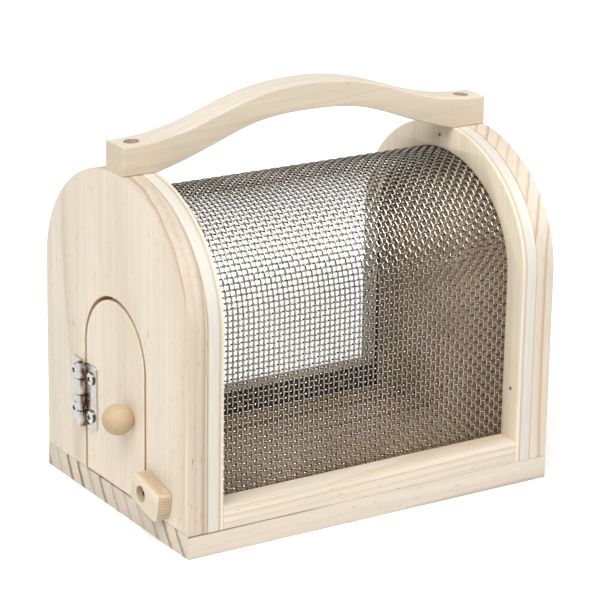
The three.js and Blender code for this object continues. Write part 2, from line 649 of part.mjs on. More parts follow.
function doorGeometry() {
  const rings = [doorOutline(0), doorOutline(DOOR_RELIEF)];
  const count = rings[0].length;
  const points = [];
  rings.forEach((ring, layer) => ring.forEach(({ x, y }) => {
    points.push(doorFaceX + layer * PANEL_THICKNESS, doorMiddleY + x, y);
  }));
  const faces = [];
  for (const [a, b, c] of THREE.ShapeUtils.triangulateShape(rings[0], [])) {
    faces.push(a, c, b);
    faces.push(a + count, b + count, c + count);
  }
  for (let i = 0; i < count; i += 1) {
    const next = (i + 1) % count;
    faces.push(i, next, next + count, i, next + count, i + count);
  }
  const geometry = new THREE.BufferGeometry();
  geometry.setAttribute('position', new THREE.Float32BufferAttribute(points, 3));
  geometry.setIndex(faces);
  return geometry;
}

const knobY = doorMiddleY - DOOR_HALF_WIDTH + KNOB_INSET;
const knobScrewAt = new THREE.Vector3(
  doorFaceX + PANEL_THICKNESS + KNOB_SCREW.headHeight, knobY, KNOB_HEIGHT);
const doorBores = hingeScrewSpots(-1).map((at) => holeFor(HINGE_SCREW, at.sub(HINGE_AXIS), PLUS_X));
doorBores.push(holeFor(KNOB_SCREW, knobScrewAt, MINUS_X));
addPiece(door, 'door', cut(doorGeometry(), doorBores), PINE);
addPiece(door, 'hinge_door_leaf', leafGeometry(-1), STEEL);
hingeScrewSpots(-1).forEach((at, i) => {
  addFastener(door, `hinge_door_screw_${i + 1}`, HINGE_SCREW, at.sub(HINGE_AXIS), PLUS_X);
});
addFastener(door, 'knob_screw', KNOB_SCREW, knobScrewAt, MINUS_X);

// Knob: a turned ball with a flat where it meets the door
function knobGeometry() {
  const radius = KNOB_DIAMETER / 2;
  const middle = radius - KNOB_FLAT_DEPTH;
  const flatAngle = Math.asin(middle / radius);
  const steps = KNOB_SEGMENTS / 2;
  const profile = [new THREE.Vector2(0, 0)];
  for (let i = 0; i <= steps; i += 1) {
    const angle = -flatAngle + (Math.PI / 2 + flatAngle) * i / steps;
    const across = i === steps ? 0 : radius * Math.cos(angle);
    profile.push(new THREE.Vector2(across, middle + radius * Math.sin(angle)));
  }
  const ball = new THREE.LatheGeometry(profile, KNOB_SEGMENTS);
  ball.applyQuaternion(new THREE.Quaternion().setFromUnitVectors(UP, MINUS_X));
  ball.translate(doorFaceX, knobY, KNOB_HEIGHT);
  return cut(ball, [holeFor(KNOB_SCREW, knobScrewAt, MINUS_X)]);
}

addPiece(door, 'knob', knobGeometry(), TURNED_WOOD);

// Latch: a turn button with rounded corners on one counterbored screw, stored open, with its long
// end away from the door. Half a turn brings the long end over the edge of the door.
function latchGeometry() {
  const half = LATCH_DEPTH / 2 - LATCH_CORNER;
  const tip = LATCH_TIP - LATCH_CORNER;
  const tail = LATCH_TAIL - LATCH_CORNER;
  const outline = new THREE.Shape();
  outline.absarc(tail, half, LATCH_CORNER, 0, Math.PI / 2, false);
  outline.absarc(-tip, half, LATCH_CORNER, Math.PI / 2, Math.PI, false);
  outline.absarc(-tip, -half, LATCH_CORNER, Math.PI, 1.5 * Math.PI, false);
  outline.absarc(tail, -half, LATCH_CORNER, 1.5 * Math.PI, 2 * Math.PI, false);
  outline.closePath();
  const button = alongX(outline, -latchFace, -latchBack, CORNER_SEGMENTS);
  const floor = latchFace - LATCH_COUNTERBORE_DEPTH;
  return cut(button, [
    rod(LATCH_COUNTERBORE_RADIUS, floor, latchFace + FIT, MINUS_X, BARREL_SEGMENTS),
    rod(LATCH_SCREW.shank + FIT, 0, latchFace, MINUS_X, BARREL_SEGMENTS),
  ]);
}

const latch = new THREE.Group();
latch.position.copy(LATCH_PIVOT);
latch.rotation.x = LATCH_TILT;
box.add(latch);
addPiece(latch, 'latch_button', latchGeometry(), TURNED_WOOD);
addFastener(box, 'latch_screw', LATCH_SCREW, latchScrewAt, PLUS_X);

export default box;
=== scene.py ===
import json
import math

import bpy
from mathutils import Matrix, Vector

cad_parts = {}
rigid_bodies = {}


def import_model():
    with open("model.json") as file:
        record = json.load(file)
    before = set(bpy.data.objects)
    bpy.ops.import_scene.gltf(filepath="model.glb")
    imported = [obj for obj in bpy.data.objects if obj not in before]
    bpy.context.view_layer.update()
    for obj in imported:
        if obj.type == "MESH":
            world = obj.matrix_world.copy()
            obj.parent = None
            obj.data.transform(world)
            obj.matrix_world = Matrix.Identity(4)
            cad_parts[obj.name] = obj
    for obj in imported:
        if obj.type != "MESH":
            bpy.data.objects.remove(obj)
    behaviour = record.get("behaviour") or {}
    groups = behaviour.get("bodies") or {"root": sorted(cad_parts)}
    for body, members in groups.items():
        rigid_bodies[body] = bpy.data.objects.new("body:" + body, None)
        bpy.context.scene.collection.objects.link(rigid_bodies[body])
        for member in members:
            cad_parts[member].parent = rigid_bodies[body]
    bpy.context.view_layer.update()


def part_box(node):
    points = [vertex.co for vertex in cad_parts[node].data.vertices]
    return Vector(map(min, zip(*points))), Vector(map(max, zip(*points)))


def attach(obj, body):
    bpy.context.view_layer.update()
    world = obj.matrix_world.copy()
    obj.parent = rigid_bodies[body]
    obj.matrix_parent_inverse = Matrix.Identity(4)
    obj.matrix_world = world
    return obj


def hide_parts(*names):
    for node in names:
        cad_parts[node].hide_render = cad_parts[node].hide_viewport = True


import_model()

# View
# The box is seen from its front left and a little from above, through a long lens.

VIEW_AZIMUTH = math.radians(-32.435)
VIEW_ELEVATION = math.radians(18.283)
VIEW_ROLL = math.radians(0.892)
VIEW_TARGET = Vector((0.000612, 0, 0.083285))
VIEW_DISTANCE = 1.24558
VIEW_LENS = 163.7
SENSOR_WIDTH = 36

right = Vector((math.cos(VIEW_AZIMUTH), math.sin(VIEW_AZIMUTH), 0))
back = Vector((
    math.sin(VIEW_AZIMUTH) * math.cos(VIEW_ELEVATION),
    -math.cos(VIEW_AZIMUTH) * math.cos(VIEW_ELEVATION),
    math.sin(VIEW_ELEVATION),
))
up = back.cross(right)
rolled_right = right * math.cos(VIEW_ROLL) + up * math.sin(VIEW_ROLL)
rolled_up = up * math.cos(VIEW_ROLL) - right * math.sin(VIEW_ROLL)
view_turn = Matrix((rolled_right, rolled_up, back)).transposed()

camera = bpy.data.objects.new("camera", bpy.data.cameras.new("camera"))
camera.data.lens = VIEW_LENS
camera.data.sensor_width = SENSOR_WIDTH
camera.matrix_world = Matrix.Translation(VIEW_TARGET + back * VIEW_DISTANCE) @ view_turn.to_4x4()
bpy.context.scene.collection.objects.link(camera)
bpy.context.scene.camera = camera
bpy.context.scene.view_settings.view_transform = "Standard"

# Stage
# A pale floor under a broad soft lamp overhead, with two weaker lamps at the front. Two black cards
# and two lit white ones, out of sight, give bright metal something to mirror.

FLOOR_SIZE = 30
FLOOR_DROP = 0.0002
FLOOR_COLOR = (0.9, 0.9, 0.9, 1)
FLOOR_ROUGHNESS = 0.9
FLOOR_LIFT = 0.22
STUDIO_WHITE = (1, 1, 1, 1)
WORLD_LIGHT = 0.24
LAMPS = (
    {"name": "top", "from": (-0.34, -0.4, 0.85), "spread": math.radians(58), "strength": 2.6},
    {"name": "left", "from": (-0.75, -0.3, 0.59), "spread": math.radians(60), "strength": 0.45},
    {"name": "right", "from": (0.5, -0.75, 0.43), "spread": math.radians(26), "strength": 0.31},
)
CARDS = (
    {"name": "black_card", "place": (1.9, -2.75, 2.2), "size": (5.5, 5.5, 1), "shade": 0.01, "glow": 0},
    {"name": "dim_card", "place": (-1.9, -2.9, 1.9), "size": (3.6, 3.6, 1), "shade": 0.01, "glow": 0},
    {"name": "right_card", "place": (2.4, -0.95, 1.3), "size": (1.3, 1.6, 1), "shade": 0.9, "glow": 36},
    {"name": "top_card", "place": (-0.85, -1.0, 2.1), "size": (2.4, 1.2, 1), "shade": 0.9, "glow": 9},
)


def set_inputs(tree, node, inputs):
    """Sets each input of a node, or links it where the value comes from another node."""
    for key, value in inputs.items():
        if isinstance(value, bpy.types.NodeSocket):
            tree.links.new(value, node.inputs[key])
        else:
            node.inputs[key].default_value = value


def add_node(tree, kind, inputs=None, **settings):
    node = tree.nodes.new("ShaderNode" + kind)
    for name, value in settings.items():
        setattr(node, name, value)
    set_inputs(tree, node, inputs or {})
    return node


def maths(tree, operation, *values):
    return add_node(tree, "Math", dict(enumerate(values)), operation=operation).outputs[0]


def seen_directly(tree):
    """1 for what the camera sees, also in metal and through clear plastic, and 0 for the light."""
    path = add_node(tree, "LightPath").outputs
    seen = maths(tree, "MAXIMUM", path["Is Camera Ray"], path["Is Glossy Ray"])
    return maths(tree, "MAXIMUM", seen, path["Is Transmission Ray"])


def new_material(name):
    material = bpy.data.materials.new(name)
    material.use_nodes = True
    return material, material.node_tree, material.node_tree.nodes["Principled BSDF"]


def add_shape(name, add, **settings):
    """Adds one plain shape, with nothing else selected."""
    bpy.ops.object.select_all(action="DESELECT")
    add(**settings)
    bpy.context.object.name = name
    return bpy.context.object


floor = add_shape("floor", bpy.ops.mesh.primitive_plane_add, size=FLOOR_SIZE, location=(0, 0, -FLOOR_DROP))
floor_material, tree, shader = new_material("studio floor")
set_inputs(tree, shader, {
    "Base Color": FLOOR_COLOR, "Roughness": FLOOR_ROUGHNESS, "Emission Color": STUDIO_WHITE,
    "Emission Strength": maths(tree, "MULTIPLY", seen_directly(tree), FLOOR_LIFT),
})
floor.data.materials.append(floor_material)

for plan in CARDS:
    card = add_shape(plan["name"], bpy.ops.mesh.primitive_plane_add, size=1, location=plan["place"])
    card.rotation_euler = Vector(plan["place"]).to_track_quat("Z", "Y").to_euler()
    card.scale = plan["size"]
    card_material, tree, shader = new_material(plan["name"])
    grey = (plan["shade"], plan["shade"], plan["shade"], 1)
    set_inputs(tree, shader, {
        "Base Color": grey, "Emission Color": grey, "Emission Strength": plan["glow"],
    })
    card.data.materials.append(card_material)
    for ray in ("camera", "diffuse", "transmission", "shadow"):
        setattr(card, f"visible_{ray}", False)

world = bpy.data.worlds.new("studio")
bpy.context.scene.world = world
world.use_nodes = True
tree = world.node_tree
world_strength = add_node(tree, "MapRange", {
    "Value": seen_directly(tree), "To Min": WORLD_LIGHT, "To Max": 1.0,
}).outputs["Result"]
set_inputs(tree, tree.nodes["Background"], {"Color": STUDIO_WHITE, "Strength": world_strength})

for lamp in LAMPS:
    light = bpy.data.lights.new(lamp["name"], "SUN")
    light.angle = lamp["spread"]
    light.energy = lamp["strength"]
    sun = bpy.data.objects.new(lamp["name"], light)
    sun.rotation_euler = Vector(lamp["from"]).to_track_quat("Z", "Y").to_euler()
    bpy.context.scene.collection.objects.link(sun)

# Base board
# A flat pine board with its grain along the box, so both ends show slanting growth rings. Its edges
# are eased by hand, and four countersunk holes underneath take the screws of the end panels.

ENDS = ("door_end", "plain_end")
BASE_EDGE = 0.0003
COUNTERSINK_RADIUS = 0.0038
COUNTERSINK_DEPTH = 0.0026
COUNTERSINK_SIDES = 32
BORE_RADIUS = 0.0019
PINE_EARLY = (0.83, 0.735, 0.605, 1)
PINE_LATE = (0.60, 0.42, 0.27, 1)
PINE_FLECK = (0.42, 0.28, 0.17, 1)
PINE_SHINE = 0.3
PINE_ROUGHNESS = (0.52, 0.68)
PINE_RELIEF = 0.00012
BUMP_STRENGTH = 0.5
BASE_EARLY = (0.69, 0.607, 0.50, 1)
BASE_LATE = (0.22, 0.13, 0.075, 1)
RING_WANDER = 0.010
RING_WAVER = 0.0012
RING_CURVE = 1.6
RING_PEAK = 0.93
RING_STOP = 0.94
RING_LEAST = 0.25
RING_RELIEF = 0.6
GRAIN_SCALES = {
    "wander": (11, 11, 4), "waver": (160, 160, 14), "patch": (28, 28, 7),
    "streak": (420, 420, 9), "fibre": (1500, 1500, 32), "canal": (1500, 1500, 190),
}
NOISE_SPAN = (0.3, 0.7)
WIDE_SPAN = (0.25, 0.75)
CANAL_SPAN = (0.69, 0.78)
ARCH_SPRING = 0.1
ARCH_RISE = 0.0567
ARCH_HALF_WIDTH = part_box("plain_end_panel")[1].y
RIM_START = 0.985
RIM_RING_GAIN = 0.45
CHAMBER_EDGE = 0.0002
CHAMBER_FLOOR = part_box("base_board")[1].z
CHAMBER_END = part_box("plain_end_panel")[0].x + CHAMBER_EDGE
CHAMBER_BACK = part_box("back_rail")[0].y + CHAMBER_EDGE
DEEP_SPAN = (-0.02, 0.045)
BACK_TOP_SPAN = (0.112, 0.132)
MOTTLE_SCALES = (90, 420, 150)
MOTTLE_SHADES = (0.84, 1.12)
# Painted shade: darker colours for faces in the chamber, deeper towards the back, and for faces behind it.
INSIDE_PAINTED_SHADE = (0.83, 0.64, 0.465, 1)
DEEP_PAINTED_SHADE = (0.47, 0.325, 0.205, 1)
BACK_PAINTED_SHADE = (0.40, 0.375, 0.36, 1)


def activate(piece):
    bpy.ops.object.select_all(action="DESELECT")
    piece.select_set(True)
    bpy.context.view_layer.objects.active = piece


def settle(piece):
    """Puts a piece's place, turn and size into its mesh."""
    activate(piece)
    bpy.ops.object.transform_apply(location=True, rotation=True, scale=True)


def add_block(name, low, high):
    piece = add_shape(name, bpy.ops.mesh.primitive_cube_add, size=1, location=(low + high) / 2)
    piece.scale = high - low
    settle(piece)
    return piece


def modify(piece, kind, **settings):
    activate(piece)
    modifier = piece.modifiers.new(kind.lower(), kind)
    for name, value in settings.items():
        setattr(modifier, name, value)
    bpy.ops.object.modifier_apply(modifier=modifier.name)


def smooth(piece, angle=math.radians(32)):
    activate(piece)
    bpy.ops.object.shade_smooth_by_angle(angle=angle)


def ease_edges(piece, width, segments=2, angle=math.radians(30)):
    modify(piece, "BEVEL", width=width, segments=segments, limit_method="ANGLE", angle_limit=angle)
    smooth(piece)


def cut_out(piece, tools):
    """Cuts each tool out of a piece and throws the tool away."""
    for tool in tools:
        modify(piece, "BOOLEAN", object=tool, operation="DIFFERENCE", solver="EXACT")
        bpy.data.objects.remove(tool)


def middle(node):
    low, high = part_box(node)
    return (low + high) / 2


def finish_piece(piece, material, body, slot, *nodes):
    if piece.data.materials:
        piece.data.materials[0] = material
    else:
        piece.data.materials.append(material)
    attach(piece, body)
    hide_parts(*nodes)


def mix(tree, share, first, second, blend="MIX"):
    node = add_node(tree, "Mix", {0: share, 6: first, 7: second}, data_type="RGBA", blend_type=blend)
    return node.outputs[2]


def ease(tree, value, low, high, out_low=0.0, out_high=1.0):
    node = add_node(tree, "MapRange", {
        "Value": value, "From Min": low, "From Max": high, "To Min": out_low, "To Max": out_high,
    }, interpolation_type="SMOOTHSTEP")
    return node.outputs["Result"]


def shade(tree, color, value, span, shades):
    """Multiplies a colour by a shade that eases along as a value crosses its span."""
    return mix(tree, 1.0, color, ease(tree, value, *span, *shades), "MULTIPLY")


def noise(tree, vector, scales, detail=2.0, roughness=0.5):
    stretched = add_node(tree, "VectorMath", {0: vector, 1: scales}, operation="MULTIPLY").outputs[0]
    inputs = {"Vector": stretched, "Scale": 1.0, "Detail": detail, "Roughness": roughness}
    return add_node(tree, "TexNoise", inputs).outputs[0]


def object_coords(tree):
    return add_node(tree, "TexCoord").outputs["Object"]


def axes_of(tree, vector):
    return add_node(tree, "SeparateXYZ", {0: vector}).outputs


def new_group(name, inputs, outputs):
    tree = bpy.data.node_groups.new(name, "ShaderNodeTree")
    for sockets, side in ((inputs, "INPUT"), (outputs, "OUTPUT")):
        for socket, kind in sockets.items():
            tree.interface.new_socket(socket, in_out=side, socket_type="NodeSocket" + kind)
    return tree


def add_group(tree, group, inputs):
    return add_node(tree, "Group", inputs, node_tree=group).outputs


def make_pine_grain():
    """Softwood as a solid: growth rings across X, gently curved over Y, with the fibre along Z."""
    tree = new_group(
        "pine grain",
        {"Place": "Vector", "Ring Width": "Float", "Early Wood": "Color", "Late Wood": "Color",
         "Ring Strength": "Float", "Late Start": "Float", "Fleck Strength": "Float"},
        {"Color": "Color", "Roughness": "Float", "Height": "Float"},
    )
    given = tree.nodes.new("NodeGroupInput").outputs
    place = given["Place"]
    axes = axes_of(tree, place)

    def grain(kind, detail=2.0, roughness=0.5):
        return noise(tree, place, GRAIN_SCALES[kind], detail, roughness)

    wander = maths(tree, "SUBTRACT", grain("wander"), 0.5)
    waver = maths(tree, "SUBTRACT", grain("waver"), 0.5)
    bow = maths(tree, "MULTIPLY", maths(tree, "MULTIPLY", axes["Y"], axes["Y"]), RING_CURVE)
    depth = maths(tree, "ADD", axes["X"], bow)
    depth = maths(tree, "MULTIPLY_ADD", wander, RING_WANDER, depth)
    depth = maths(tree, "MULTIPLY_ADD", waver, RING_WAVER, depth)
    count = maths(tree, "DIVIDE", depth, given["Ring Width"])
    year = maths(tree, "FLOOR", count)
    part = maths(tree, "FRACT", count)
    rise = ease(tree, part, given["Late Start"], RING_PEAK)
    fall = ease(tree, part, RING_STOP, 1.0, 1.0, 0.0)
    vigour = add_node(tree, "TexWhiteNoise", {"W": year}, noise_dimensions="1D").outputs["Value"]
    vigour = maths(tree, "ADD", vigour, RING_LEAST)
    ring = maths(tree, "MULTIPLY", maths(tree, "MULTIPLY", rise, fall), vigour)
    ring = maths(tree, "MULTIPLY", ring, given["Ring Strength"])
    fibre = grain("fibre", detail=3, roughness=0.6)
    canal = ease(tree, grain("canal", detail=1), *CANAL_SPAN)
    fleck = maths(tree, "MULTIPLY", canal, given["Fleck Strength"])
    color = mix(tree, ring, given["Early Wood"], given["Late Wood"])
    color = shade(tree, color, grain("patch", detail=3), NOISE_SPAN, (0.95, 1.02))
    color = shade(tree, color, grain("streak"), NOISE_SPAN, (0.955, 1.015))
    color = shade(tree, color, fibre, WIDE_SPAN, (0.95, 1.03))
    set_inputs(tree, tree.nodes.new("NodeGroupOutput"), {
        "Color": mix(tree, fleck, color, PINE_FLECK),
        "Roughness": ease(tree, fibre, 0.2, 0.8, *PINE_ROUGHNESS),
        "Height": maths(tree, "SUBTRACT", maths(tree, "MULTIPLY_ADD", ring, RING_RELIEF, fibre), fleck),
    })
    return tree


pine_grain = make_pine_grain()


def make_inside_mask():
    """Inside is 1 on faces that look into the chamber, Back on faces behind it and Rim on outer rims."""
    tree = new_group(
        "inside mask", {"Place": "Vector"},
        {"Inside": "Float", "Painted Shade": "Color", "Back": "Float", "Rim": "Float"})
    place = tree.nodes.new("NodeGroupInput").outputs["Place"]
    axes = axes_of(tree, place)
    off_x, off_y = (maths(tree, "ABSOLUTE", axes[axis]) for axis in "XY")
    along = ease(tree, off_x, CHAMBER_END, CHAMBER_END + CHAMBER_EDGE, 1.0, 0.0)
    across = ease(tree, off_y, CHAMBER_BACK, CHAMBER_BACK + CHAMBER_EDGE, 1.0, 0.0)
    above = ease(tree, axes["Z"], CHAMBER_FLOOR - 2 * CHAMBER_EDGE, CHAMBER_FLOOR - CHAMBER_EDGE)
    lift = maths(tree, "MAXIMUM", maths(tree, "SUBTRACT", axes["Z"], ARCH_SPRING), 0.0)
    lift = maths(tree, "POWER", maths(tree, "DIVIDE", lift, ARCH_RISE), 2.0)
    reach = maths(tree, "POWER", maths(tree, "DIVIDE", off_y, ARCH_HALF_WIDTH), 2.0)
    rim = ease(tree, maths(tree, "SQRT", maths(tree, "ADD", lift, reach)), RIM_START, 1.0)
    behind = ease(tree, axes["Y"], CHAMBER_BACK, CHAMBER_BACK + CHAMBER_EDGE)
    behind = maths(tree, "MULTIPLY", behind, ease(tree, axes["Z"], *BACK_TOP_SPAN, 1.0, 0.0))
    back = maths(tree, "MULTIPLY", behind, maths(tree, "SUBTRACT", 1.0, rim))
    room = maths(tree, "MULTIPLY", along, above)
    # Painted shade: the chamber darkens towards the back, and faces behind it get a mottled grey shade.
    deep_shade = mix(tree, ease(tree, axes["Y"], *DEEP_SPAN), INSIDE_PAINTED_SHADE, DEEP_PAINTED_SHADE)
    mottle = noise(tree, place, MOTTLE_SCALES, detail=3)
    back_shade = shade(tree, BACK_PAINTED_SHADE, mottle, NOISE_SPAN, MOTTLE_SHADES)
    set_inputs(tree, tree.nodes.new("NodeGroupOutput"), {
        "Inside": maths(tree, "MULTIPLY", room, maths(tree, "MAXIMUM", across, back)),
        "Painted Shade": mix(tree, back, deep_shade, back_shade),
        "Back": maths(tree, "MULTIPLY", room, back),
        "Rim": rim,
    })
    return tree


inside_mask = make_inside_mask()


def object_place(tree, across, along, shift):
    """Object coordinates turned so that X runs across the growth rings and Z along the fibre."""
    fibre = Vector(along).normalized()
    ring = (Vector(across) - fibre * fibre.dot(Vector(across))).normalized()
    turn = Matrix((ring, fibre.cross(ring), fibre)).to_euler()
    inputs = {"Vector": object_coords(tree), "Location": shift, "Rotation": turn}
    return add_node(tree, "Mapping", inputs).outputs[0]


def add_bump(tree, shader, height, distance):
    bump = add_node(tree, "Bump", {"Height": height, "Strength": BUMP_STRENGTH, "Distance": distance})
    set_inputs(tree, shader, {"Normal": bump.outputs[0]})


def make_pine(name, across, along, shift, ring_width, ring_strength=0.5, late_start=0.35, fleck=0.6,
              early=PINE_EARLY, late=PINE_LATE, shades_chamber=False, rim_tone_and_shade=None):
    material, tree, shader = new_material(name)
    if shades_chamber or rim_tone_and_shade:
        masks = add_group(tree, inside_mask, {"Place": object_coords(tree)})
    if rim_tone_and_shade:
        ring_strength = maths(tree, "MULTIPLY_ADD", masks["Rim"], RIM_RING_GAIN, ring_strength)
    wood = add_group(tree, pine_grain, {
        "Place": object_place(tree, across, along, shift),
        "Ring Width": ring_width, "Early Wood": early, "Late Wood": late,
        "Ring Strength": ring_strength, "Late Start": late_start, "Fleck Strength": fleck,
    })
    color = wood["Color"]
    # Faces in and behind the chamber get painted shade.
    if shades_chamber:
        color = mix(tree, masks["Inside"], color, masks["Painted Shade"], "MULTIPLY")
    # Darker rims: partly the end grain's own tone, partly painted shade.
    if rim_tone_and_shade:
        color = mix(tree, masks["Rim"], color, rim_tone_and_shade, "MULTIPLY")
    set_inputs(tree, shader, {
        "Base Color": color, "Roughness": wood["Roughness"], "Specular IOR Level": PINE_SHINE,
    })
    add_bump(tree, shader, wood["Height"], PINE_RELIEF)
    return material


base_screws = [f"base_screw_{end}_{side}" for end in ENDS for side in ("front", "back")]
base = add_block("base", *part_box("base_board"))
ease_edges(base, BASE_EDGE)
countersinks = []
for screw in base_screws:
    countersinks.append(add_shape(
        "countersink", bpy.ops.mesh.primitive_cone_add, vertices=COUNTERSINK_SIDES,
        radius1=COUNTERSINK_RADIUS, radius2=BORE_RADIUS, depth=2 * COUNTERSINK_DEPTH,
        location=(*middle(screw).xy, COUNTERSINK_DEPTH / 2)))
cut_out(base, countersinks)
smooth(base)
# The board gets painted shade where it lies inside the chamber.
base_pine = make_pine(
    "base pine", across=(0, 0.81, -0.585), along=(1, 0, 0), shift=(0.001, 0.01, 0.3),
    ring_width=0.0095, ring_strength=1.0, late_start=0.6, early=BASE_EARLY, late=BASE_LATE,
    shades_chamber=True)
finish_piece(base, base_pine, "root", "pine", "base_board")

# End panels
# Two pine boards with arched tops, sawn with the grain upright and screwed on from below. The crown
# is planed flat for the handle, and one board has a doorway sawn out of it.

ARCH_STEPS = 96
PANEL_EDGE = 0.0006
DOORWAY_HALF_WIDTH = 0.0282
DOOR_SPRING = 0.0715
SAW_EDGE = 0.0002
SAW_ANGLE = math.radians(60)
SIDE_SLOPE = 0.5
CUT_PAST = 0.005
PANEL_GRAIN = {"across": (1, 0, 0), "along": (0, 0, 1), "shift": (0.02, 0.012, 0.1)}
PANEL_RING_WIDTH = 0.0042
# The panels' rims are darker and pinker: partly the end grain's own tone, partly painted shade.
DOOR_RIM_TONE_AND_SHADE = (0.82, 0.785, 0.755, 1)
PLAIN_RIM_TONE_AND_SHADE = (0.90, 0.868, 0.84, 1)
# Warm, dark painted shade for the walls of the saw cut; the late colour also shades the bores.
KERF_SHADE_EARLY = (0.74, 0.525, 0.32, 1)
HOLLOW_SHADE_LATE = (0.54, 0.35, 0.19, 1)


def set_mode(mode):
    bpy.ops.object.mode_set(mode=mode)


def select_none(piece, kind):
    """Clears the selection in a mesh, ready to select vertices or edges one by one."""
    activate(piece)
    set_mode("EDIT")
    bpy.ops.mesh.select_mode(type=kind)
    bpy.ops.mesh.select_all(action="DESELECT")
    set_mode("OBJECT")


def pick(piece, test):
    """Selects the vertices of a piece, in edit mode, whose places pass a test."""
    select_none(piece, "VERT")
    for vertex in piece.data.vertices:
        vertex.select = test(vertex.co)
    set_mode("EDIT")


def extrude(offset):
    bpy.ops.mesh.extrude_region_move(TRANSFORM_OT_translate={"value": offset})


def edit_whole(piece):
    """Opens a piece in edit mode with all of it selected."""
    activate(piece)
    set_mode("EDIT")
    bpy.ops.mesh.select_all(action="SELECT")


def face_out(piece, weld=0.0):
    """Welds a mesh where asked, and turns all its faces outwards."""
    edit_whole(piece)
    if weld:
        bpy.ops.mesh.remove_doubles(threshold=weld)
    bpy.ops.mesh.normals_make_consistent(inside=False)
    set_mode("OBJECT")


def slice_off(piece, place, direction):
    """Cuts a piece flat and throws away what lies past the cut."""
    edit_whole(piece)
    bpy.ops.mesh.bisect(plane_co=place, plane_no=direction, use_fill=True, clear_outer=True)
    set_mode("OBJECT")


def add_arch(name, x_low, x_high, half_width, foot, spring, rise):
    """An upright arched slab: straight sides up to the spring line, then half an ellipse."""
    piece = add_shape(
        name, bpy.ops.mesh.primitive_circle_add, vertices=ARCH_STEPS, radius=1,
        location=(x_low, 0, spring), rotation=(0, math.pi / 2, 0))
    piece.scale = (rise, half_width, 1)
    settle(piece)
    tiny = rise * 1e-4
    pick(piece, lambda place: place.z < spring - tiny)
    bpy.ops.mesh.delete(type="VERT")
    set_mode("OBJECT")
    pick(piece, lambda place: abs(place.z - spring) < tiny)
    extrude((0, 0, foot - spring))
    bpy.ops.mesh.select_all(action="SELECT")
    bpy.ops.mesh.edge_face_add()
    extrude((x_high - x_low, 0, 0))
    set_mode("OBJECT")
    face_out(piece)
    return piece


def show_marked(piece, material, test):
    """Gives the faces of a finished piece that pass a test a second finish."""
    piece.data.materials.append(material)
    for face in piece.data.polygons:
        if test(face.center, face.normal):
            face.material_index = len(piece.data.materials) - 1


# Both panels' rims get a darker, pinker tone: partly end grain, partly painted shade.
panel_pine = make_pine(
    "panel pine", **PANEL_GRAIN, ring_width=PANEL_RING_WIDTH, ring_strength=0.34, fleck=0.8,
    rim_tone_and_shade=DOOR_RIM_TONE_AND_SHADE)
# The plain panel's inner face gets painted shade.
plain_pine = make_pine(
    "plain panel pine", across=(1, -0.9, 0), along=(0, 0.03, 1), shift=(0.047, -0.021, 0.62),
    ring_width=0.005, ring_strength=0.55, late_start=0.6, fleck=0.55, shades_chamber=True,
    rim_tone_and_shade=PLAIN_RIM_TONE_AND_SHADE)
kerf_shade_pine = make_pine(
    "kerf shade pine", **PANEL_GRAIN, ring_width=PANEL_RING_WIDTH, ring_strength=0.3, fleck=0.5,
    early=KERF_SHADE_EARLY, late=HOLLOW_SHADE_LATE)


def show_saw_cut(piece, half_width, top):
    """Gives the narrow faces of a saw cut round the door a warm, dark painted shade."""
    show_marked(piece, kerf_shade_pine, lambda place, normal: (
        abs(place.y) < half_width + SAW_EDGE and place.z < top + SAW_EDGE and abs(normal.x) < SIDE_SLOPE))


for end, pine in (("door_end", panel_pine), ("plain_end", plain_pine)):
    low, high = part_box(f"{end}_panel")
    panel = add_arch(f"{end}_board", low.x, high.x, high.y, low.z, ARCH_SPRING, ARCH_RISE)
    slice_off(panel, (0, 0, high.z), (0, 0, 1))
    ease_edges(panel, PANEL_EDGE, segments=3)
    if end == "door_end":
        doorway = add_arch(
            "doorway", low.x - CUT_PAST, high.x + CUT_PAST, DOORWAY_HALF_WIDTH, low.z - CUT_PAST,
            DOOR_SPRING, DOORWAY_HALF_WIDTH)
        cut_out(panel, [doorway])
        ease_edges(panel, SAW_EDGE, segments=1, angle=SAW_ANGLE)
    finish_piece(panel, pine, "root", "pine", f"{end}_panel")
    if end == "door_end":
        show_saw_cut(panel, DOORWAY_HALF_WIDTH, DOOR_SPRING + DOORWAY_HALF_WIDTH)

# Plywood frames
# An arch of thin plywood stands inside each end panel, flush with its edge and held by brads. The
# edge shows a thick white core, then a grey veneer and a cream face. At the back its inner faces get
# painted shade, and its inner edge a near-black painted shade.

FRAME_SPRING = 0.0975
FRAME_WIDTH = 0.012
FRAME_EDGE = 0.0003
FRAME_OUTER_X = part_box("plain_end_frame")[1].x
OPEN_HALF_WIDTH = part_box("plain_end_frame")[1].y - FRAME_WIDTH
OPEN_RISE = ARCH_SPRING + ARCH_RISE - FRAME_WIDTH - FRAME_SPRING
CORE_START = 0.0004
CORE_END = 0.0052
VENEER_END = 0.0064
LAYER_EDGE = 0.00025
PLY_SCALES = (3000, 250, 60)
PLY_SHADES = (0.93, 1.03)
PLY_RELIEF = 0.0001
PLY_CORE = (0.73, 0.69, 0.605, 1)
PLY_VENEER = (0.62, 0.53, 0.42, 1)
PLY_FACE = (0.88, 0.77, 0.60, 1)
# Near-black painted shade for the inner edge of the back legs and the inner face of the back rail.
NEAR_BLACK_SHADE_EARLY = (0.03, 0.017, 0.01, 1)
NEAR_BLACK_SHADE_LATE = (0.02, 0.011, 0.006, 1)
SHADED_CORE = (0.36, 0.26, 0.17, 1)
SHADED_VENEER = (0.29, 0.20, 0.13, 1)


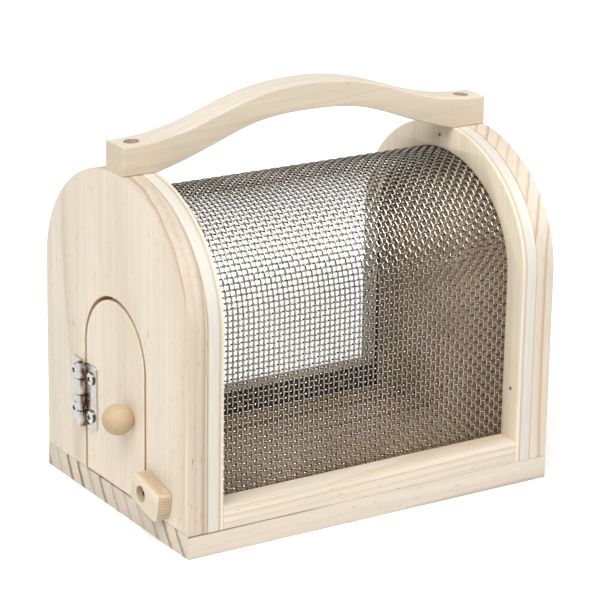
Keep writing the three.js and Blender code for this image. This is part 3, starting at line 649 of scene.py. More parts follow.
def make_plywood(name, core_color, veneer_color, face_early, face_late):
    """Layers counted from the panel inwards, on both frames alike, with the fibre of the face upright."""
    material, tree, shader = new_material(name)
    face = add_group(tree, pine_grain, {
        "Place": object_place(tree, across=(1, 0.4, 0), along=(0, 0, 1), shift=(0.31, 0.05, 0.4)),
        "Ring Width": 0.006, "Early Wood": face_early, "Late Wood": face_late,
        "Ring Strength": 0.15, "Late Start": 0.35, "Fleck Strength": 0.25,
    })
    here = object_coords(tree)
    depth = maths(tree, "SUBTRACT", FRAME_OUTER_X, maths(tree, "ABSOLUTE", axes_of(tree, here)["X"]))
    grain = noise(tree, here, PLY_SCALES)
    core = shade(tree, core_color, grain, WIDE_SPAN, PLY_SHADES)
    veneer = shade(tree, veneer_color, grain, WIDE_SPAN, PLY_SHADES)
    color = veneer
    for start, layer in ((CORE_START, core), (CORE_END, veneer), (VENEER_END, face["Color"])):
        color = mix(tree, ease(tree, depth, start, start + LAYER_EDGE), color, layer)
    # The frames' inner faces behind the chamber get a mottled painted shade.
    masks = add_group(tree, inside_mask, {"Place": here})
    set_inputs(tree, shader, {
        "Base Color": mix(tree, masks["Back"], color, masks["Painted Shade"], "MULTIPLY"),
        "Roughness": face["Roughness"], "Specular IOR Level": PINE_SHINE,
    })
    add_bump(tree, shader, face["Height"], PLY_RELIEF)
    return material


plywood = make_plywood("plywood", PLY_CORE, PLY_VENEER, PLY_FACE, PINE_LATE)
near_black_shade_ply = make_plywood("near black shade plywood", SHADED_CORE, SHADED_VENEER, NEAR_BLACK_SHADE_EARLY, NEAR_BLACK_SHADE_LATE)
for end in ENDS:
    low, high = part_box(f"{end}_frame")
    ply = add_arch(f"{end}_arch", low.x, high.x, high.y, low.z, ARCH_SPRING, ARCH_RISE)
    slice_off(ply, (0, 0, high.z), (0, 0, 1))
    inside = add_arch(
        "inside", low.x - CUT_PAST, high.x + CUT_PAST, OPEN_HALF_WIDTH, low.z - CUT_PAST,
        FRAME_SPRING, OPEN_RISE)
    cut_out(ply, [inside])
    ease_edges(ply, FRAME_EDGE)
    finish_piece(ply, plywood, "root", "plywood", f"{end}_frame")
    # The inner edge of each back leg, facing the chamber, gets a near-black painted shade.
    show_marked(ply, near_black_shade_ply, lambda place, normal: place.y > 0 and normal.y < -SIDE_SLOPE)

# Rails
# Two square pine strips lie on the base board between the feet of the frames, glued and flush with
# its long edges. The side of the back one that faces the chamber is painted near black, as shade.

RAIL_EDGE = 0.0004
RAIL_SLOPE = 0.9
RAIL_EARLY = (0.785, 0.69, 0.565, 1)
RAIL_GRAIN = {"across": (0, 0.4, 1), "along": (1, 0, 0), "shift": (0.013, 0.04, 0.9), "ring_width": 0.0034}

# Inside the chamber the rails get painted shade.
rail_pine = make_pine(
    "rail pine", **RAIL_GRAIN, ring_strength=0.45, fleck=0.7, early=RAIL_EARLY, shades_chamber=True)
near_black_shade_wood = make_pine(
    "near black shade wood", **RAIL_GRAIN, ring_strength=0.3, fleck=0.5, early=NEAR_BLACK_SHADE_EARLY, late=NEAR_BLACK_SHADE_LATE)
for side in ("front", "back"):
    rail = add_block(f"{side}_strip", *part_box(f"{side}_rail"))
    ease_edges(rail, RAIL_EDGE)
    finish_piece(rail, rail_pine, "root", "pine", f"{side}_rail")
# Painted shade: the back rail's face towards the chamber is near black.
show_marked(rail, near_black_shade_wood, lambda place, normal: normal.y < -RAIL_SLOPE)

# Wire screen
# Plain woven steel wire, cut from a roll and sprung up the front and over the top against the inner
# edge of the frames. Every wire is crimped over and under the ones that cross it.

WEAVE_PITCH = 0.00263
WIRE_RADIUS = 0.00042
HOOP_CRIMP = 0.0002
CROSS_CRIMP = 0.00054
WIRE_SIDES = 5
STEPS_A_WAVE = 7
SCREEN_CLEAR = 0.0003
SCREEN_THICKNESS = 0.0009
SEAM_ANGLE = math.radians(42)
BEND_STEPS = 120
DULL_SCALES = (35, 35, 35)
WIRE_SPAN = (0.55, 0.95)
WIRE_SHADES = (0.82, 1.1)
WIRE_ROUGHNESS = (0.12, 0.24)
FINE_SCALES = (900, 900, 900)
# The hoops get a lighter steel and the crossing wires a darker one: painted light and shade on one wire.
LIT_HOOP_STEEL = (0.385, 0.358, 0.322, 1)
SHADED_CROSS_STEEL = (0.19, 0.175, 0.154, 1)
WIRE_EDGE_TINT = (0.42, 0.39, 0.35, 1)
SCREEN_BAYS = ("wire_screen_front", *(f"wire_screen_bend_{bay}" for bay in range(1, 5)))


def bend_line(inset, first, last):
    """Points of the bent line, drawn flat in Y and Z, between two angles round the arch."""
    half, rise = OPEN_HALF_WIDTH - inset, OPEN_RISE - inset
    angles = [first + (last - first) * step / BEND_STEPS for step in range(BEND_STEPS + 1)]
    return [(half * math.cos(angle), FRAME_SPRING + rise * math.sin(angle)) for angle in angles]


def add_line(name, points):
    """A flat line through points, drawn in its own X and Y."""
    curve = bpy.data.curves.new(name, "CURVE")
    curve.dimensions = "2D"
    spline = curve.splines.new("POLY")
    spline.points.add(len(points) - 1)
    for point, (x, y) in zip(spline.points, points):
        point.co = (x, y, 0, 1)
    line = bpy.data.objects.new(name, curve)
    bpy.context.scene.collection.objects.link(line)
    return line


def repeat(piece, count, offset, **settings):
    modify(
        piece, "ARRAY", count=count, use_relative_offset=False, use_constant_offset=True,
        constant_offset_displace=offset, **settings)


def add_wire(name, pitch, waves, crimp):
    """One crimped wire along X, waving in Y, with two crossings to a wave."""
    wire = add_shape(
        name, bpy.ops.mesh.primitive_circle_add, vertices=WIRE_SIDES, radius=WIRE_RADIUS,
        rotation=(0, math.pi / 2, 0))
    settle(wire)
    edit_whole(wire)
    step = 2 * pitch / STEPS_A_WAVE
    turn = 2 * math.pi / STEPS_A_WAVE
    for index in range(STEPS_A_WAVE):
        lift = crimp * (math.sin((index + 1) * turn) - math.sin(index * turn))
        extrude((step, lift, 0))
    set_mode("OBJECT")
    repeat(wire, waves, (2 * pitch, 0, 0), use_merge_vertices=True, merge_threshold=WIRE_RADIUS / 10)
    return wire


def repeat_pair(first, second, offset, count):
    """Joins two neighbouring wires and repeats the pair across the cloth."""
    activate(first)
    second.select_set(True)
    bpy.ops.object.join()
    repeat(first, count, offset)


def close_ends(piece):
    edit_whole(piece)
    bpy.ops.mesh.fill_holes(sides=WIRE_SIDES)
    set_mode("OBJECT")
    face_out(piece)
    bpy.ops.object.shade_smooth()


def stand_up(piece):
    """Turns what was drawn flat in X and Y upright, into the Y and Z of the box."""
    piece.matrix_world = Matrix(((0, 0, 1, 0), (1, 0, 0, 0), (0, 1, 0, 0), (0, 0, 0, 1)))
    settle(piece)


def steel_wire(name, steel):
    material, tree, shader = new_material(name)
    here = object_coords(tree)
    dull = noise(tree, here, DULL_SCALES, detail=3)
    drawn = noise(tree, here, FINE_SCALES)
    tone = maths(tree, "MULTIPLY_ADD", drawn, 0.5, dull)
    set_inputs(tree, shader, {
        "Base Color": shade(tree, steel, tone, WIRE_SPAN, WIRE_SHADES),
        "Roughness": ease(tree, drawn, *NOISE_SPAN, *WIRE_ROUGHNESS),
        "Metallic": 1.0, "Specular Tint": WIRE_EDGE_TINT,
    })
    return material


screen_inset = SCREEN_CLEAR + SCREEN_THICKNESS / 2
screen_line = [(-OPEN_HALF_WIDTH + screen_inset, CHAMBER_FLOOR + SCREEN_CLEAR)]
screen_line += bend_line(screen_inset, math.pi, SEAM_ANGLE)
screen_path = add_line("screen_path", screen_line)
screen_low, screen_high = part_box("wire_screen_front")
screen_width = screen_high.x - screen_low.x
screen_length = sum(math.dist(one, two) for one, two in zip(screen_line, screen_line[1:]))
hoop_pairs = round(screen_width / WEAVE_PITCH / 2)
cross_pairs = round(screen_length / WEAVE_PITCH / 2)
hoop_pitch = screen_width / (2 * hoop_pairs)
cross_pitch = screen_length / (2 * cross_pairs)

hoops = add_wire("hoop_wires", cross_pitch, cross_pairs, HOOP_CRIMP)
hoop_partner = add_wire("hoop_partner", cross_pitch, cross_pairs, -HOOP_CRIMP)
hoop_partner.location.z = hoop_pitch
settle(hoop_partner)
repeat_pair(hoops, hoop_partner, (0, 0, 2 * hoop_pitch), hoop_pairs)
hoops.location.z = screen_low.x + hoop_pitch / 2
crossers = add_wire("cross_wires", hoop_pitch, hoop_pairs, -CROSS_CRIMP)
cross_partner = add_wire("cross_partner", hoop_pitch, hoop_pairs, CROSS_CRIMP)
for wire, place in ((crossers, cross_pitch / 2), (cross_partner, 1.5 * cross_pitch)):
    wire.rotation_euler = (0, -math.pi / 2, 0)
    wire.location = (place, 0, screen_low.x)
    settle(wire)
repeat_pair(crossers, cross_partner, (2 * cross_pitch, 0, 0), cross_pairs)
# One wire, painted lighter in the hoops and darker in the crossing wires.
for weave, finish, steel in ((hoops, "lit hoop steel", LIT_HOOP_STEEL), (crossers, "shaded cross steel", SHADED_CROSS_STEEL)):
    settle(weave)
    modify(weave, "CURVE", object=screen_path, deform_axis="POS_X")
    close_ends(weave)
    stand_up(weave)
    finish_piece(weave, steel_wire(finish, steel), "root", "screen_wire", *SCREEN_BAYS)
bpy.data.objects.remove(screen_path)

# Clear sheet
# A thin sheet of clear plastic closes the back, bent the same way as the screen from its edge down
# to the back rail, where pins hold it.

SHEET_THICKNESS = 0.0012
SHEET_SEAM = 0.0004
SHEET_TINT = (0.985, 0.99, 0.99, 1)
SHEET_IOR = 1.45
HAZE_SCALES = (55, 55, 55)
HAZE_SPAN = (0.35, 0.8)
SHEET_ROUGHNESS = (0.01, 0.09)


def to_mesh(piece):
    activate(piece)
    bpy.ops.object.convert(target="MESH")


sheet_inset = SCREEN_CLEAR + SHEET_THICKNESS / 2
seam_turn = SHEET_SEAM / OPEN_HALF_WIDTH
sheet_line = bend_line(sheet_inset, SEAM_ANGLE - seam_turn, 0)
sheet_line.append((OPEN_HALF_WIDTH - sheet_inset, CHAMBER_FLOOR + SCREEN_CLEAR))
window = add_line("window", sheet_line)
to_mesh(window)
edit_whole(window)
extrude((0, 0, screen_width))
set_mode("OBJECT")
face_out(window)
window.location.z = screen_low.x
settle(window)
modify(window, "SOLIDIFY", thickness=SHEET_THICKNESS, offset=0)
stand_up(window)
smooth(window)

clear_plastic, tree, shader = new_material("clear plastic")
haze = noise(tree, object_coords(tree), HAZE_SCALES, detail=4)
set_inputs(tree, shader, {
    "Base Color": SHEET_TINT, "Transmission Weight": 1.0, "IOR": SHEET_IOR,
    "Roughness": ease(tree, haze, *HAZE_SPAN, *SHEET_ROUGHNESS),
})
let_light = add_node(tree, "BsdfTransparent")
light_or_view = add_node(tree, "MixShader", {
    0: add_node(tree, "LightPath").outputs["Is Shadow Ray"], 1: shader.outputs[0], 2: let_light.outputs[0],
})
set_inputs(tree, tree.nodes["Material Output"], {"Surface": light_or_view.outputs[0]})
finish_piece(window, clear_plastic, "root", "clear_plastic", "clear_sheet")

# Staples, pins and brads
# Thin wire staples hold the foot of the screen to the front rail, and round-headed pins the foot of
# the clear sheet to the back rail, both bright plated. Duller brads hold the frames to the end panels.

PLATED = (0.60, 0.58, 0.55, 1)
BRAD_STEEL = (0.50, 0.40, 0.28, 1)
PLATE_SCALES = (240, 240, 240)
PLATE_SPAN = (0.3, 0.75)
PLATE_SHADES = (1.05, 0.9)
SCRATCH_RELIEF = 0.00001


def make_plated(name, steel, dull, bright, scratch_scales=FINE_SCALES):
    """Plated steel with fine scratches and a few duller patches."""
    material, tree, shader = new_material(name)
    here = object_coords(tree)
    patch = noise(tree, here, PLATE_SCALES, detail=3)
    scratch = noise(tree, here, scratch_scales)
    set_inputs(tree, shader, {
        "Base Color": shade(tree, steel, patch, PLATE_SPAN, PLATE_SHADES),
        "Roughness": ease(tree, scratch, *WIDE_SPAN, bright, dull), "Metallic": 1.0,
    })
    add_bump(tree, shader, scratch, SCRATCH_RELIEF)
    return material


def dress(node, material):
    """Gives a solid that shows as it is its finish."""
    solid = bpy.data.objects[node]
    for slot in solid.material_slots:
        slot.material = material


fixing_steel = make_plated("fixing steel", PLATED, dull=0.38, bright=0.18)
brad_steel = make_plated("brad steel", BRAD_STEEL, dull=0.7, bright=0.5)
for number in (1, 2, 3):
    dress(f"screen_staple_{number}", fixing_steel)
    dress(f"sheet_pin_{number}", fixing_steel)
for end in ENDS:
    for spot in ("crown", "front_leg", "back_leg"):
        dress(f"frame_brad_{end}_{spot}", brad_steel)

# Handle
# One bar of pine, bandsawn to an easy curve that rises from both crowns to the grip, with every edge
# rounded over. A counterbored hole through each end takes its screw.

HANDLE_EDGE = 0.0006
HANDLE_GRIP_DEPTH = 0.0122
HANDLE_END_HEIGHT = 0.013
UNDER_PULL = 0.48
UNDER_LIFT = 0.56
END_PULL = 0.55
GRIP_PULL = 0.45
CURVE_STEPS = 40
HANDLE_BORE_RADIUS = 0.0036
HANDLE_BORE_DEPTH = 0.005
HANDLE_GRAIN = {
    "across": (0, 1, 0.3), "along": (1, 0, 0.06), "shift": (0.021, 0.013, 0.2),
    "ring_width": 0.0046, "ring_strength": 0.2, "fleck": 0.45,
}
# Painted light and shade: the handle's top is lighter and its sides darker than the same wood would be.
HANDLE_SHADED_EARLY = (0.705, 0.597, 0.452, 1)
HANDLE_LIT_TOP_EARLY = (0.81, 0.73, 0.615, 1)
HANDLE_TOP_SLOPE = 0.6
BORE_SHADE_EARLY = (0.58, 0.455, 0.315, 1)
WELD = 1e-6

handle_low, handle_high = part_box("handle")
handle_rise = handle_high.z - handle_low.z
handle_end = handle_high.x - HANDLE_EDGE
handle_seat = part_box("plain_end_frame")[0].x - HANDLE_EDGE
grip_under = handle_rise - HANDLE_GRIP_DEPTH + HANDLE_EDGE
grip_top = handle_rise - HANDLE_EDGE
end_top = HANDLE_END_HEIGHT - HANDLE_EDGE
under_pull = handle_seat * UNDER_PULL
under_lift = HANDLE_EDGE + grip_under * UNDER_LIFT
end_pull = handle_end * END_PULL
grip_pull = handle_end * GRIP_PULL
bore_at = middle("handle_screw_plain_end").x
bore_top = handle_low.z + HANDLE_END_HEIGHT

# Each corner of the outline: its place, and the pulls of the curve before and after it.
HANDLE_OUTLINE = (
    ((-handle_end, HANDLE_EDGE), None, None),
    ((-handle_seat, HANDLE_EDGE), None, (-under_pull, under_lift)),
    ((0, grip_under), (-under_pull, grip_under), (under_pull, grip_under)),
    ((handle_seat, HANDLE_EDGE), (under_pull, under_lift), None),
    ((handle_end, HANDLE_EDGE), None, None),
    ((handle_end, end_top), None, (end_pull, end_top)),
    ((0, grip_top), (grip_pull, grip_top), (-grip_pull, grip_top)),
    ((-handle_end, end_top), (-end_pull, end_top), None),
)

handle_curve = bpy.data.curves.new("carry_bar", "CURVE")
handle_curve.dimensions = "2D"
handle_curve.fill_mode = "BOTH"
handle_curve.resolution_u = CURVE_STEPS
handle_curve.extrude = (handle_high.y - handle_low.y) / 2 - HANDLE_EDGE
handle_curve.bevel_depth = HANDLE_EDGE
handle_curve.bevel_resolution = 3
spline = handle_curve.splines.new("BEZIER")
spline.use_cyclic_u = True
spline.bezier_points.add(len(HANDLE_OUTLINE) - 1)
for point, (place, pull_in, pull_out) in zip(spline.bezier_points, HANDLE_OUTLINE):
    point.handle_left_type = "FREE" if pull_in else "VECTOR"
    point.handle_right_type = "FREE" if pull_out else "VECTOR"
    point.co = (*place, 0)
    point.handle_left = (*(pull_in or place), 0)
    point.handle_right = (*(pull_out or place), 0)
bar = bpy.data.objects.new("carry_bar", handle_curve)
bpy.context.scene.collection.objects.link(bar)
to_mesh(bar)
face_out(bar, WELD)
bar.rotation_euler = (math.pi / 2, 0, 0)
bar.location.z = handle_low.z
settle(bar)


def add_drill(radius, place, direction, depth, sides=40):
    """A round cutter from a point on a surface down into it."""
    drill = add_shape(
        "drill", bpy.ops.mesh.primitive_cylinder_add, vertices=sides, radius=radius, depth=2 * depth,
        location=place)
    drill.rotation_euler = Vector(direction).to_track_quat("Z", "Y").to_euler()
    settle(drill)
    return drill


handle_drills = []
for end in ENDS:
    mouth = Vector((middle(f"handle_screw_{end}").x, 0, bore_top))
    handle_drills.append(add_drill(HANDLE_BORE_RADIUS, mouth, (0, 0, 1), HANDLE_BORE_DEPTH))
    handle_drills.append(add_drill(BORE_RADIUS, mouth, (0, 0, 1), 2 * HANDLE_END_HEIGHT))
cut_out(bar, handle_drills)
smooth(bar)
# The walls of the bores get painted shade.
bore_shade_pine = make_pine(
    "bore shade pine", **PANEL_GRAIN, ring_width=0.0021, ring_strength=0.3, early=BORE_SHADE_EARLY, late=HOLLOW_SHADE_LATE)
# Painted light on the top of the handle, painted shade on its sides.
shaded_handle_pine = make_pine("shaded handle pine", **HANDLE_GRAIN, early=HANDLE_SHADED_EARLY)
lit_top_pine = make_pine("lit top pine", **HANDLE_GRAIN, early=HANDLE_LIT_TOP_EARLY)
finish_piece(bar, shaded_handle_pine, "root", "pine", "handle")
show_marked(bar, lit_top_pine, lambda place, normal: normal.z > HANDLE_TOP_SLOPE)
show_marked(bar, bore_shade_pine, lambda place, normal: (
    math.hypot(abs(place.x) - bore_at, place.y) < HANDLE_BORE_RADIUS and place.z < bore_top - SAW_EDGE))

# Screws
# Small steel wood screws with a cross recess: flat heads under the base board, and pan heads in the
# counterbored ends of the handle, in the latch and behind the knob.

HEAD_STEPS = 36
DOME_STEPS = 6
FLAT_HEAD = {"head": 0.0034, "rim": 0, "dome": 0, "sink": 0.8 * COUNTERSINK_DEPTH, "length": 0.025}
PAN_HEAD = {"head": 0.003, "rim": 0.0008, "dome": 0.0012, "sink": 0.0002, "length": 0.012}
SHANK = 0.0015
SCREW_POINT = 0.003
RECESS_REACH = 0.7
RECESS_WIDTH = 0.19
RECESS_DEPTH = 0.5
RECESS_TAPER = (0.4, 0.6, 1)
RECESS_MARGIN = 0.03
RECESS_FLOOR_MARGIN = 0.01
BASE_SCREW_SPIN = 0.7
HANDLE_SCREW_SPINS = (0.5, 1.2)
# Near-black steel as painted shade in screw recesses and on the hinge pin.
SHADE_DARK_STEEL = (0.05, 0.043, 0.036, 1)

shade_dark_steel = make_plated("shade dark steel", SHADE_DARK_STEEL, dull=0.6, bright=0.4)


def add_turned(name, head, rim, dome, sink, length):
    """A plain screw about Z, turned from half its outline, with its head seated at height 0."""
    outline = [(0, 0), (head, 0)]
    if dome:
        turns = [math.pi / 2 * (1 - step / DOME_STEPS) for step in range(DOME_STEPS + 1)]
        outline = [(head * math.cos(turn), rim + dome * math.sin(turn)) for turn in turns] + [(head, 0)]
    outline += [(SHANK, -sink), (SHANK, -length + SCREW_POINT), (0, -length)]
    piece = add_line(name, outline)
    to_mesh(piece)
    modify(
        piece, "SCREW", axis="Y", angle=2 * math.pi, steps=HEAD_STEPS, render_steps=HEAD_STEPS,
        use_merge_vertices=True, merge_threshold=WELD)
    piece.rotation_euler = (math.pi / 2, 0, 0)
    settle(piece)
    face_out(piece, WELD)
    return piece


def add_screw(name, head, rim, dome, sink, length):
    """A screw about Z with a cross recess in its head, painted dark inside as shade."""
    screw = add_turned(name, head, rim, dome, sink, length)
    top = Vector((0, 0, rim + dome))
    reach = head * Vector((RECESS_REACH, RECESS_WIDTH, RECESS_DEPTH))
    bars = []
    for turn in (0, math.pi / 2):
        bar = add_block("recess", top - reach, top + reach)
        pick(bar, lambda place: place.z < top.z)
        bpy.ops.transform.resize(value=RECESS_TAPER, center_override=(0, 0, 0))
        set_mode("OBJECT")
        bar.rotation_euler.z = turn
        settle(bar)
        bars.append(bar)
    cut_out(screw, bars)
    smooth(screw)
    screw.data.materials.append(fixing_steel)

    def in_recess(place, normal):
        off = math.hypot(place.x, place.y) / head
        surface = rim + dome * math.sqrt(max(0, 1 - off * off))
        floor_at = top.z - head * (RECESS_DEPTH + RECESS_FLOOR_MARGIN)
        return off < RECESS_REACH + RECESS_MARGIN and floor_at < place.z < surface - head * RECESS_MARGIN

    show_marked(screw, shade_dark_steel, in_recess)
    return screw


def set_screw(model, node, place, direction, spin, steel=fixing_steel, body="root"):
    """Sets a copy of a screw, with its own mesh, in a hole, its head facing a direction."""
    screw = bpy.data.objects.new(f"seen_{node}", model.data.copy())
    bpy.context.scene.collection.objects.link(screw)
    turn = Vector(direction).to_track_quat("Z", "Y").to_matrix().to_4x4()
    screw.matrix_world = Matrix.Translation(place) @ turn @ Matrix.Rotation(spin, 4, "Z")
    settle(screw)
    finish_piece(screw, steel, body, "steel", node)


flat_screw = add_screw("flat_screw", **FLAT_HEAD)
for index, node in enumerate(base_screws):
    place = Vector((*middle(node).xy, 0))
    set_screw(flat_screw, node, place, (0, 0, -1), BASE_SCREW_SPIN * index)
bpy.data.objects.remove(flat_screw)
pan_screw = add_screw("pan_screw", **PAN_HEAD)
for end, spin in zip(ENDS, HANDLE_SCREW_SPINS):
    node = f"handle_screw_{end}"
    place = Vector((*middle(node).xy, bore_top - HANDLE_BORE_DEPTH))
    set_screw(pan_screw, node, place, (0, 0, 1), spin)

# Door
# The piece sawn out of the end panel, a saw cut smaller all round, so its grain runs on from the
# board around it. The free edge leans in towards the back to swing clear.

DOOR_RELIEF = 0.0015
SAME_PLACE = 1e-5

door_low, door_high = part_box("door")
leaf = add_arch(
    "door_leaf", door_low.x, door_high.x, door_high.y, door_low.z, DOOR_SPRING, door_high.z - DOOR_SPRING)
pick(leaf, lambda place: place.x > door_high.x - SAME_PLACE and place.y < 0)
bpy.ops.transform.resize(value=(1, 1 - DOOR_RELIEF / door_high.y, 1), center_override=(0, 0, 0))
set_mode("OBJECT")
ease_edges(leaf, SAW_EDGE, segments=1)
finish_piece(leaf, panel_pine, "door", "pine", "door")
show_saw_cut(leaf, door_high.y, door_high.z)

# Knob
# A turned wooden ball with a small flat against the door, a little darker than the boards, held by a
# screw from inside.

KNOB_SEGMENTS = 56
KNOB_RINGS = 36
KNOB_SCREW_SPIN = 0.3
KNOB_EARLY = (0.565, 0.425, 0.265, 1)
KNOB_LATE = (0.52, 0.33, 0.18, 1)

knob_low, knob_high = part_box("knob")
knob_radius = (knob_high.z - knob_low.z) / 2
knob_at = Vector((knob_low.x + knob_radius, *middle("knob").yz))
ball = add_shape(
    "ball_knob", bpy.ops.mesh.primitive_uv_sphere_add, segments=KNOB_SEGMENTS, ring_count=KNOB_RINGS,
    radius=knob_radius, location=knob_at, rotation=(0, math.pi / 2, 0))
settle(ball)
slice_off(ball, (knob_high.x, 0, 0), (1, 0, 0))
smooth(ball)
knob_wood = make_pine(
    "knob wood", across=(0, 1, 0.3), along=(1, 0, 0), shift=(0.03, 0.02, 0.5),
    ring_width=0.0021, ring_strength=0.22, fleck=0.3, early=KNOB_EARLY, late=KNOB_LATE)
finish_piece(ball, knob_wood, "door", "turned_wood", "knob")

place = Vector((knob_high.x + (door_high.x - door_low.x), *knob_at.yz))
set_screw(pan_screw, "knob_screw", place, (1, 0, 0), KNOB_SCREW_SPIN, body="door")

# Hinge
# A small butt hinge of plated sheet steel: each leaf is rolled into two knuckles around a pin, and
# two round-headed screws hold it flat on the board.

LEAF_THICKNESS = 0.001
LEAF_WIDTH = 0.0116
LEAF_CORNER = 0.002
LEAF_EDGE = 0.00015
CORNER_STEPS = 8
WEB_SHARE = 0.8
BARREL_RADIUS = 0.0023
BARREL_CLEAR = 0.0003
BARREL_SIDES = 48
PIN_BORE = 0.00115
PIN_SIDES = 32
KNUCKLES = 4
KNUCKLE_GAP = 0.0005
HINGE_PLATE = (0.57, 0.545, 0.51, 1)
BRUSH_SCALES = (160, 700, 160)
# Grime with painted shade and a painted reflection of the door's wood, beside the barrel.
GRIME_AND_SHADE_START = (0.0015, 0.0021)
GRIME_AND_SHADE_END = (0.0025, 0.0031)
GRIME_AND_SHADE_SCALES = (420, 420, 260)
GRIME_AND_SHADE_SPAN = (0.36, 0.6)
GRIME_AND_SHADE_SHARES = (0.25, 1.0)
GRIME_AND_SHADE_TONE = (0.30, 0.215, 0.14, 1)
ROUND_HEAD = {"head": 0.003, "rim": 0.0011, "dome": 0.0005, "sink": 0, "length": 0.0075}
ROUND_STEEP = 0.9
HINGE_SCREW_SPINS = (1.5, 2.6)
# Dark steel for the sides of round heads, as painted shade and dark reflection.
RIM_SHADE_STEEL = (0.16, 0.14, 0.115, 1)

hinge_low, hinge_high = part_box("hinge_pin")
hinge_axis = (hinge_low + hinge_high) / 2
leaf_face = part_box("hinge_frame_leaf")[1].x - LEAF_THICKNESS
knuckle_pitch = (hinge_high.z - hinge_low.z) / KNUCKLES


def make_hinge_steel():
    """Plated steel, brown in the corner between the barrel and the leaf of the door: partly grime,
    partly painted shade and a painted reflection of the door's wood.
    """
    material = make_plated("hinge steel", HINGE_PLATE, dull=0.34, bright=0.12, scratch_scales=BRUSH_SCALES)
    tree = material.node_tree
    shader = tree.nodes["Principled BSDF"]
    place = object_coords(tree)
    off = maths(tree, "SUBTRACT", hinge_axis.y, axes_of(tree, place)["Y"])
    near = ease(tree, off, *GRIME_AND_SHADE_START)
    far = ease(tree, off, *GRIME_AND_SHADE_END, 1.0, 0.0)
    patches = noise(tree, place, GRIME_AND_SHADE_SCALES, detail=3)
    patches = ease(tree, patches, *GRIME_AND_SHADE_SPAN, *GRIME_AND_SHADE_SHARES)
    # Grime and painted shade in the corner by the door's leaf.
    grime_and_shade = maths(tree, "MULTIPLY", maths(tree, "MULTIPLY", near, far), patches)
    plate = shader.inputs["Base Color"].links[0].from_socket
    set_inputs(tree, shader, {"Base Color": mix(tree, grime_and_shade, plate, GRIME_AND_SHADE_TONE, "MULTIPLY")})
    return material


def join_to(piece, other):
    modify(piece, "BOOLEAN", object=other, operation="UNION", solver="EXACT")
    bpy.data.objects.remove(other)


def round_corners(piece, width, test):
    """Rounds the edges that run along X and whose two ends pass a test."""
    select_none(piece, "EDGE")
    for edge in piece.data.edges:
        first, second = (piece.data.vertices[index].co for index in edge.vertices)
        edge.select = abs(first.x - second.x) > SAME_PLACE and test(first) and test(second)
    set_mode("EDIT")
    bpy.ops.mesh.bevel(offset=width, segments=CORNER_STEPS, affect="EDGES")
    set_mode("OBJECT")


def add_leaf(name, side, first_knuckle):
    """One leaf, with every second knuckle from the top; side is +1 on the board and -1 on the door."""
    near = hinge_axis.y + side * (BARREL_RADIUS + BARREL_CLEAR)
    far = hinge_axis.y + side * LEAF_WIDTH
    low = Vector((leaf_face, min(near, far), hinge_low.z))
    high = Vector((leaf_face + LEAF_THICKNESS, max(near, far), hinge_high.z))
    plate = add_block(name, low, high)
    round_corners(plate, LEAF_CORNER, lambda place: abs(place.y - far) < LEAF_EDGE)
    web_end = near + side * BARREL_CLEAR
    for knuckle in range(first_knuckle, KNUCKLES, 2):
        top = hinge_high.z - knuckle * knuckle_pitch - KNUCKLE_GAP / 2
        foot = top - knuckle_pitch + KNUCKLE_GAP
        web_low = Vector((leaf_face, min(web_end, hinge_axis.y), foot))
        web_high = Vector((leaf_face + LEAF_THICKNESS * WEB_SHARE, max(web_end, hinge_axis.y), top))
        join_to(plate, add_block("web", web_low, web_high))
        join_to(plate, add_shape(
            "knuckle", bpy.ops.mesh.primitive_cylinder_add, vertices=BARREL_SIDES, radius=BARREL_RADIUS,
            depth=top - foot, location=(*hinge_axis.xy, (top + foot) / 2)))
    cut_out(plate, [add_drill(PIN_BORE, hinge_axis, (0, 0, 1), knuckle_pitch * KNUCKLES, PIN_SIDES)])
    ease_edges(plate, LEAF_EDGE)
    return plate


hinge_steel = make_hinge_steel()
hinge_screw_steel = make_plated("hinge screw steel", PLATED, dull=0.24, bright=0.1)
rim_shade_steel = make_plated("rim shade steel", RIM_SHADE_STEEL, dull=0.4, bright=0.2)
board_leaf = add_leaf("board_leaf", 1, 1)
finish_piece(board_leaf, hinge_steel, "root", "steel", "hinge_frame_leaf")
swing_leaf = add_leaf("swing_leaf", -1, 0)
finish_piece(swing_leaf, hinge_steel, "door", "steel", "hinge_door_leaf")
# The pin, seen in the gaps between knuckles, is near black as painted shade.
dress("hinge_pin", shade_dark_steel)
round_screw = add_screw("round_screw", **ROUND_HEAD)
# The sides of the round heads are painted dark, as shade and dark reflection.
show_marked(round_screw, rim_shade_steel, lambda place, normal: place.z > 0 and normal.xy.length > ROUND_STEEP)
for part, body in (("frame", "root"), ("door", "door")):
    for number, spin in enumerate(HINGE_SCREW_SPINS, 1):
        node = f"hinge_{part}_screw_{number}"
        place = Vector((leaf_face, *middle(node).yz))
        set_screw(round_screw, node, place, (-1, 0, 0), spin, hinge_screw_steel, body)
bpy.data.objects.remove(round_screw)

# Latch
# A turn button: a short block of wood with rounded corners that pivots on one screw in a counterbored
# hole. It stands open here, with its long end away from the door.

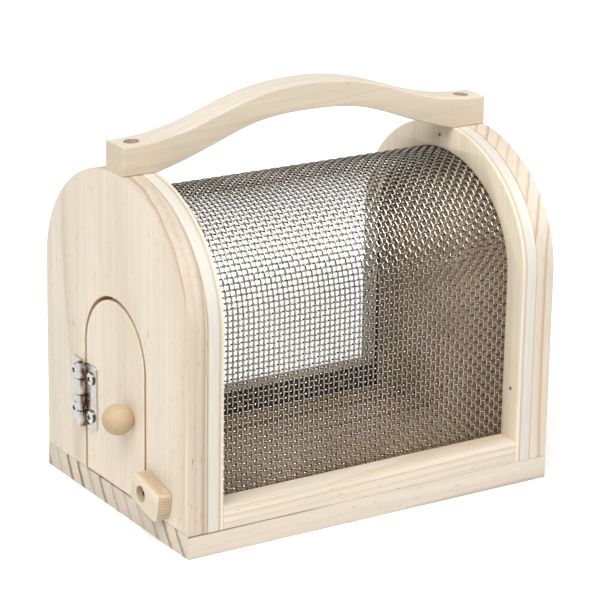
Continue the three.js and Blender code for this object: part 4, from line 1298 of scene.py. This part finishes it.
LATCH_TILT = math.radians(12)
LATCH_LENGTH = 0.0228
LATCH_DEPTH = 0.0135
LATCH_TIP = 0.0143
LATCH_CORNER = 0.0025
LATCH_EDGE = 0.0006
LATCH_BORE_RADIUS = 0.0038
LATCH_BORE_DEPTH = 0.0035
LATCH_SCREW_SPIN = 0.9
LATCH_SIDE_SLOPE = 0.3
LATCH_GRAIN = {
    "across": (0.3, 0, 1), "along": (0, math.cos(LATCH_TILT), math.sin(LATCH_TILT)),
    "shift": (0.05, 0.02, 0.7),
}
LATCH_EARLY = (0.805, 0.695, 0.55, 1)
# Darker tones for the narrow sides of the button.
LATCH_SIDE_EARLY = (0.625, 0.50, 0.355, 1)
LATCH_SIDE_LATE = (0.34, 0.22, 0.13, 1)

latch_low, latch_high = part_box("latch_button")
pivot = Vector((latch_low.x, *middle("latch_screw").yz))
block_low = Vector((latch_low.x, pivot.y - LATCH_TIP, pivot.z - LATCH_DEPTH / 2))
block_high = Vector((latch_high.x, pivot.y - LATCH_TIP + LATCH_LENGTH, pivot.z + LATCH_DEPTH / 2))
button = add_block("turn_button", block_low, block_high)
round_corners(button, LATCH_CORNER, lambda place: True)
ease_edges(button, LATCH_EDGE)
cut_out(button, [
    add_drill(LATCH_BORE_RADIUS, pivot, (1, 0, 0), LATCH_BORE_DEPTH),
    add_drill(BORE_RADIUS, pivot, (1, 0, 0), 2 * (latch_high.x - latch_low.x)),
])
tilt = Matrix.Rotation(LATCH_TILT, 4, "X")
button.data.transform(Matrix.Translation(pivot) @ tilt @ Matrix.Translation(-pivot))
smooth(button)
latch_wood = make_pine(
    "latch wood", **LATCH_GRAIN, ring_width=0.0026, ring_strength=0.4, early=LATCH_EARLY)
latch_side_wood = make_pine(
    "latch side wood", **LATCH_GRAIN, ring_width=0.0015, ring_strength=0.75, late_start=0.55, fleck=0.8,
    early=LATCH_SIDE_EARLY, late=LATCH_SIDE_LATE)
finish_piece(button, latch_wood, "latch", "turned_wood", "latch_button")
# The narrow sides of the button are darker, with stronger ring lines.
show_marked(button, latch_side_wood, lambda place, normal: abs(normal.x) < LATCH_SIDE_SLOPE)
# Painted shade on the walls of the latch's bore.
show_marked(button, bore_shade_pine, lambda place, normal: (
    (place - pivot).yz.length < LATCH_BORE_RADIUS and place.x > pivot.x + SAW_EDGE))

place = pivot + Vector((LATCH_BORE_DEPTH, 0, 0))
set_screw(pan_screw, "latch_screw", place, (-1, 0, 0), LATCH_SCREW_SPIN)
bpy.data.objects.remove(pan_screw)
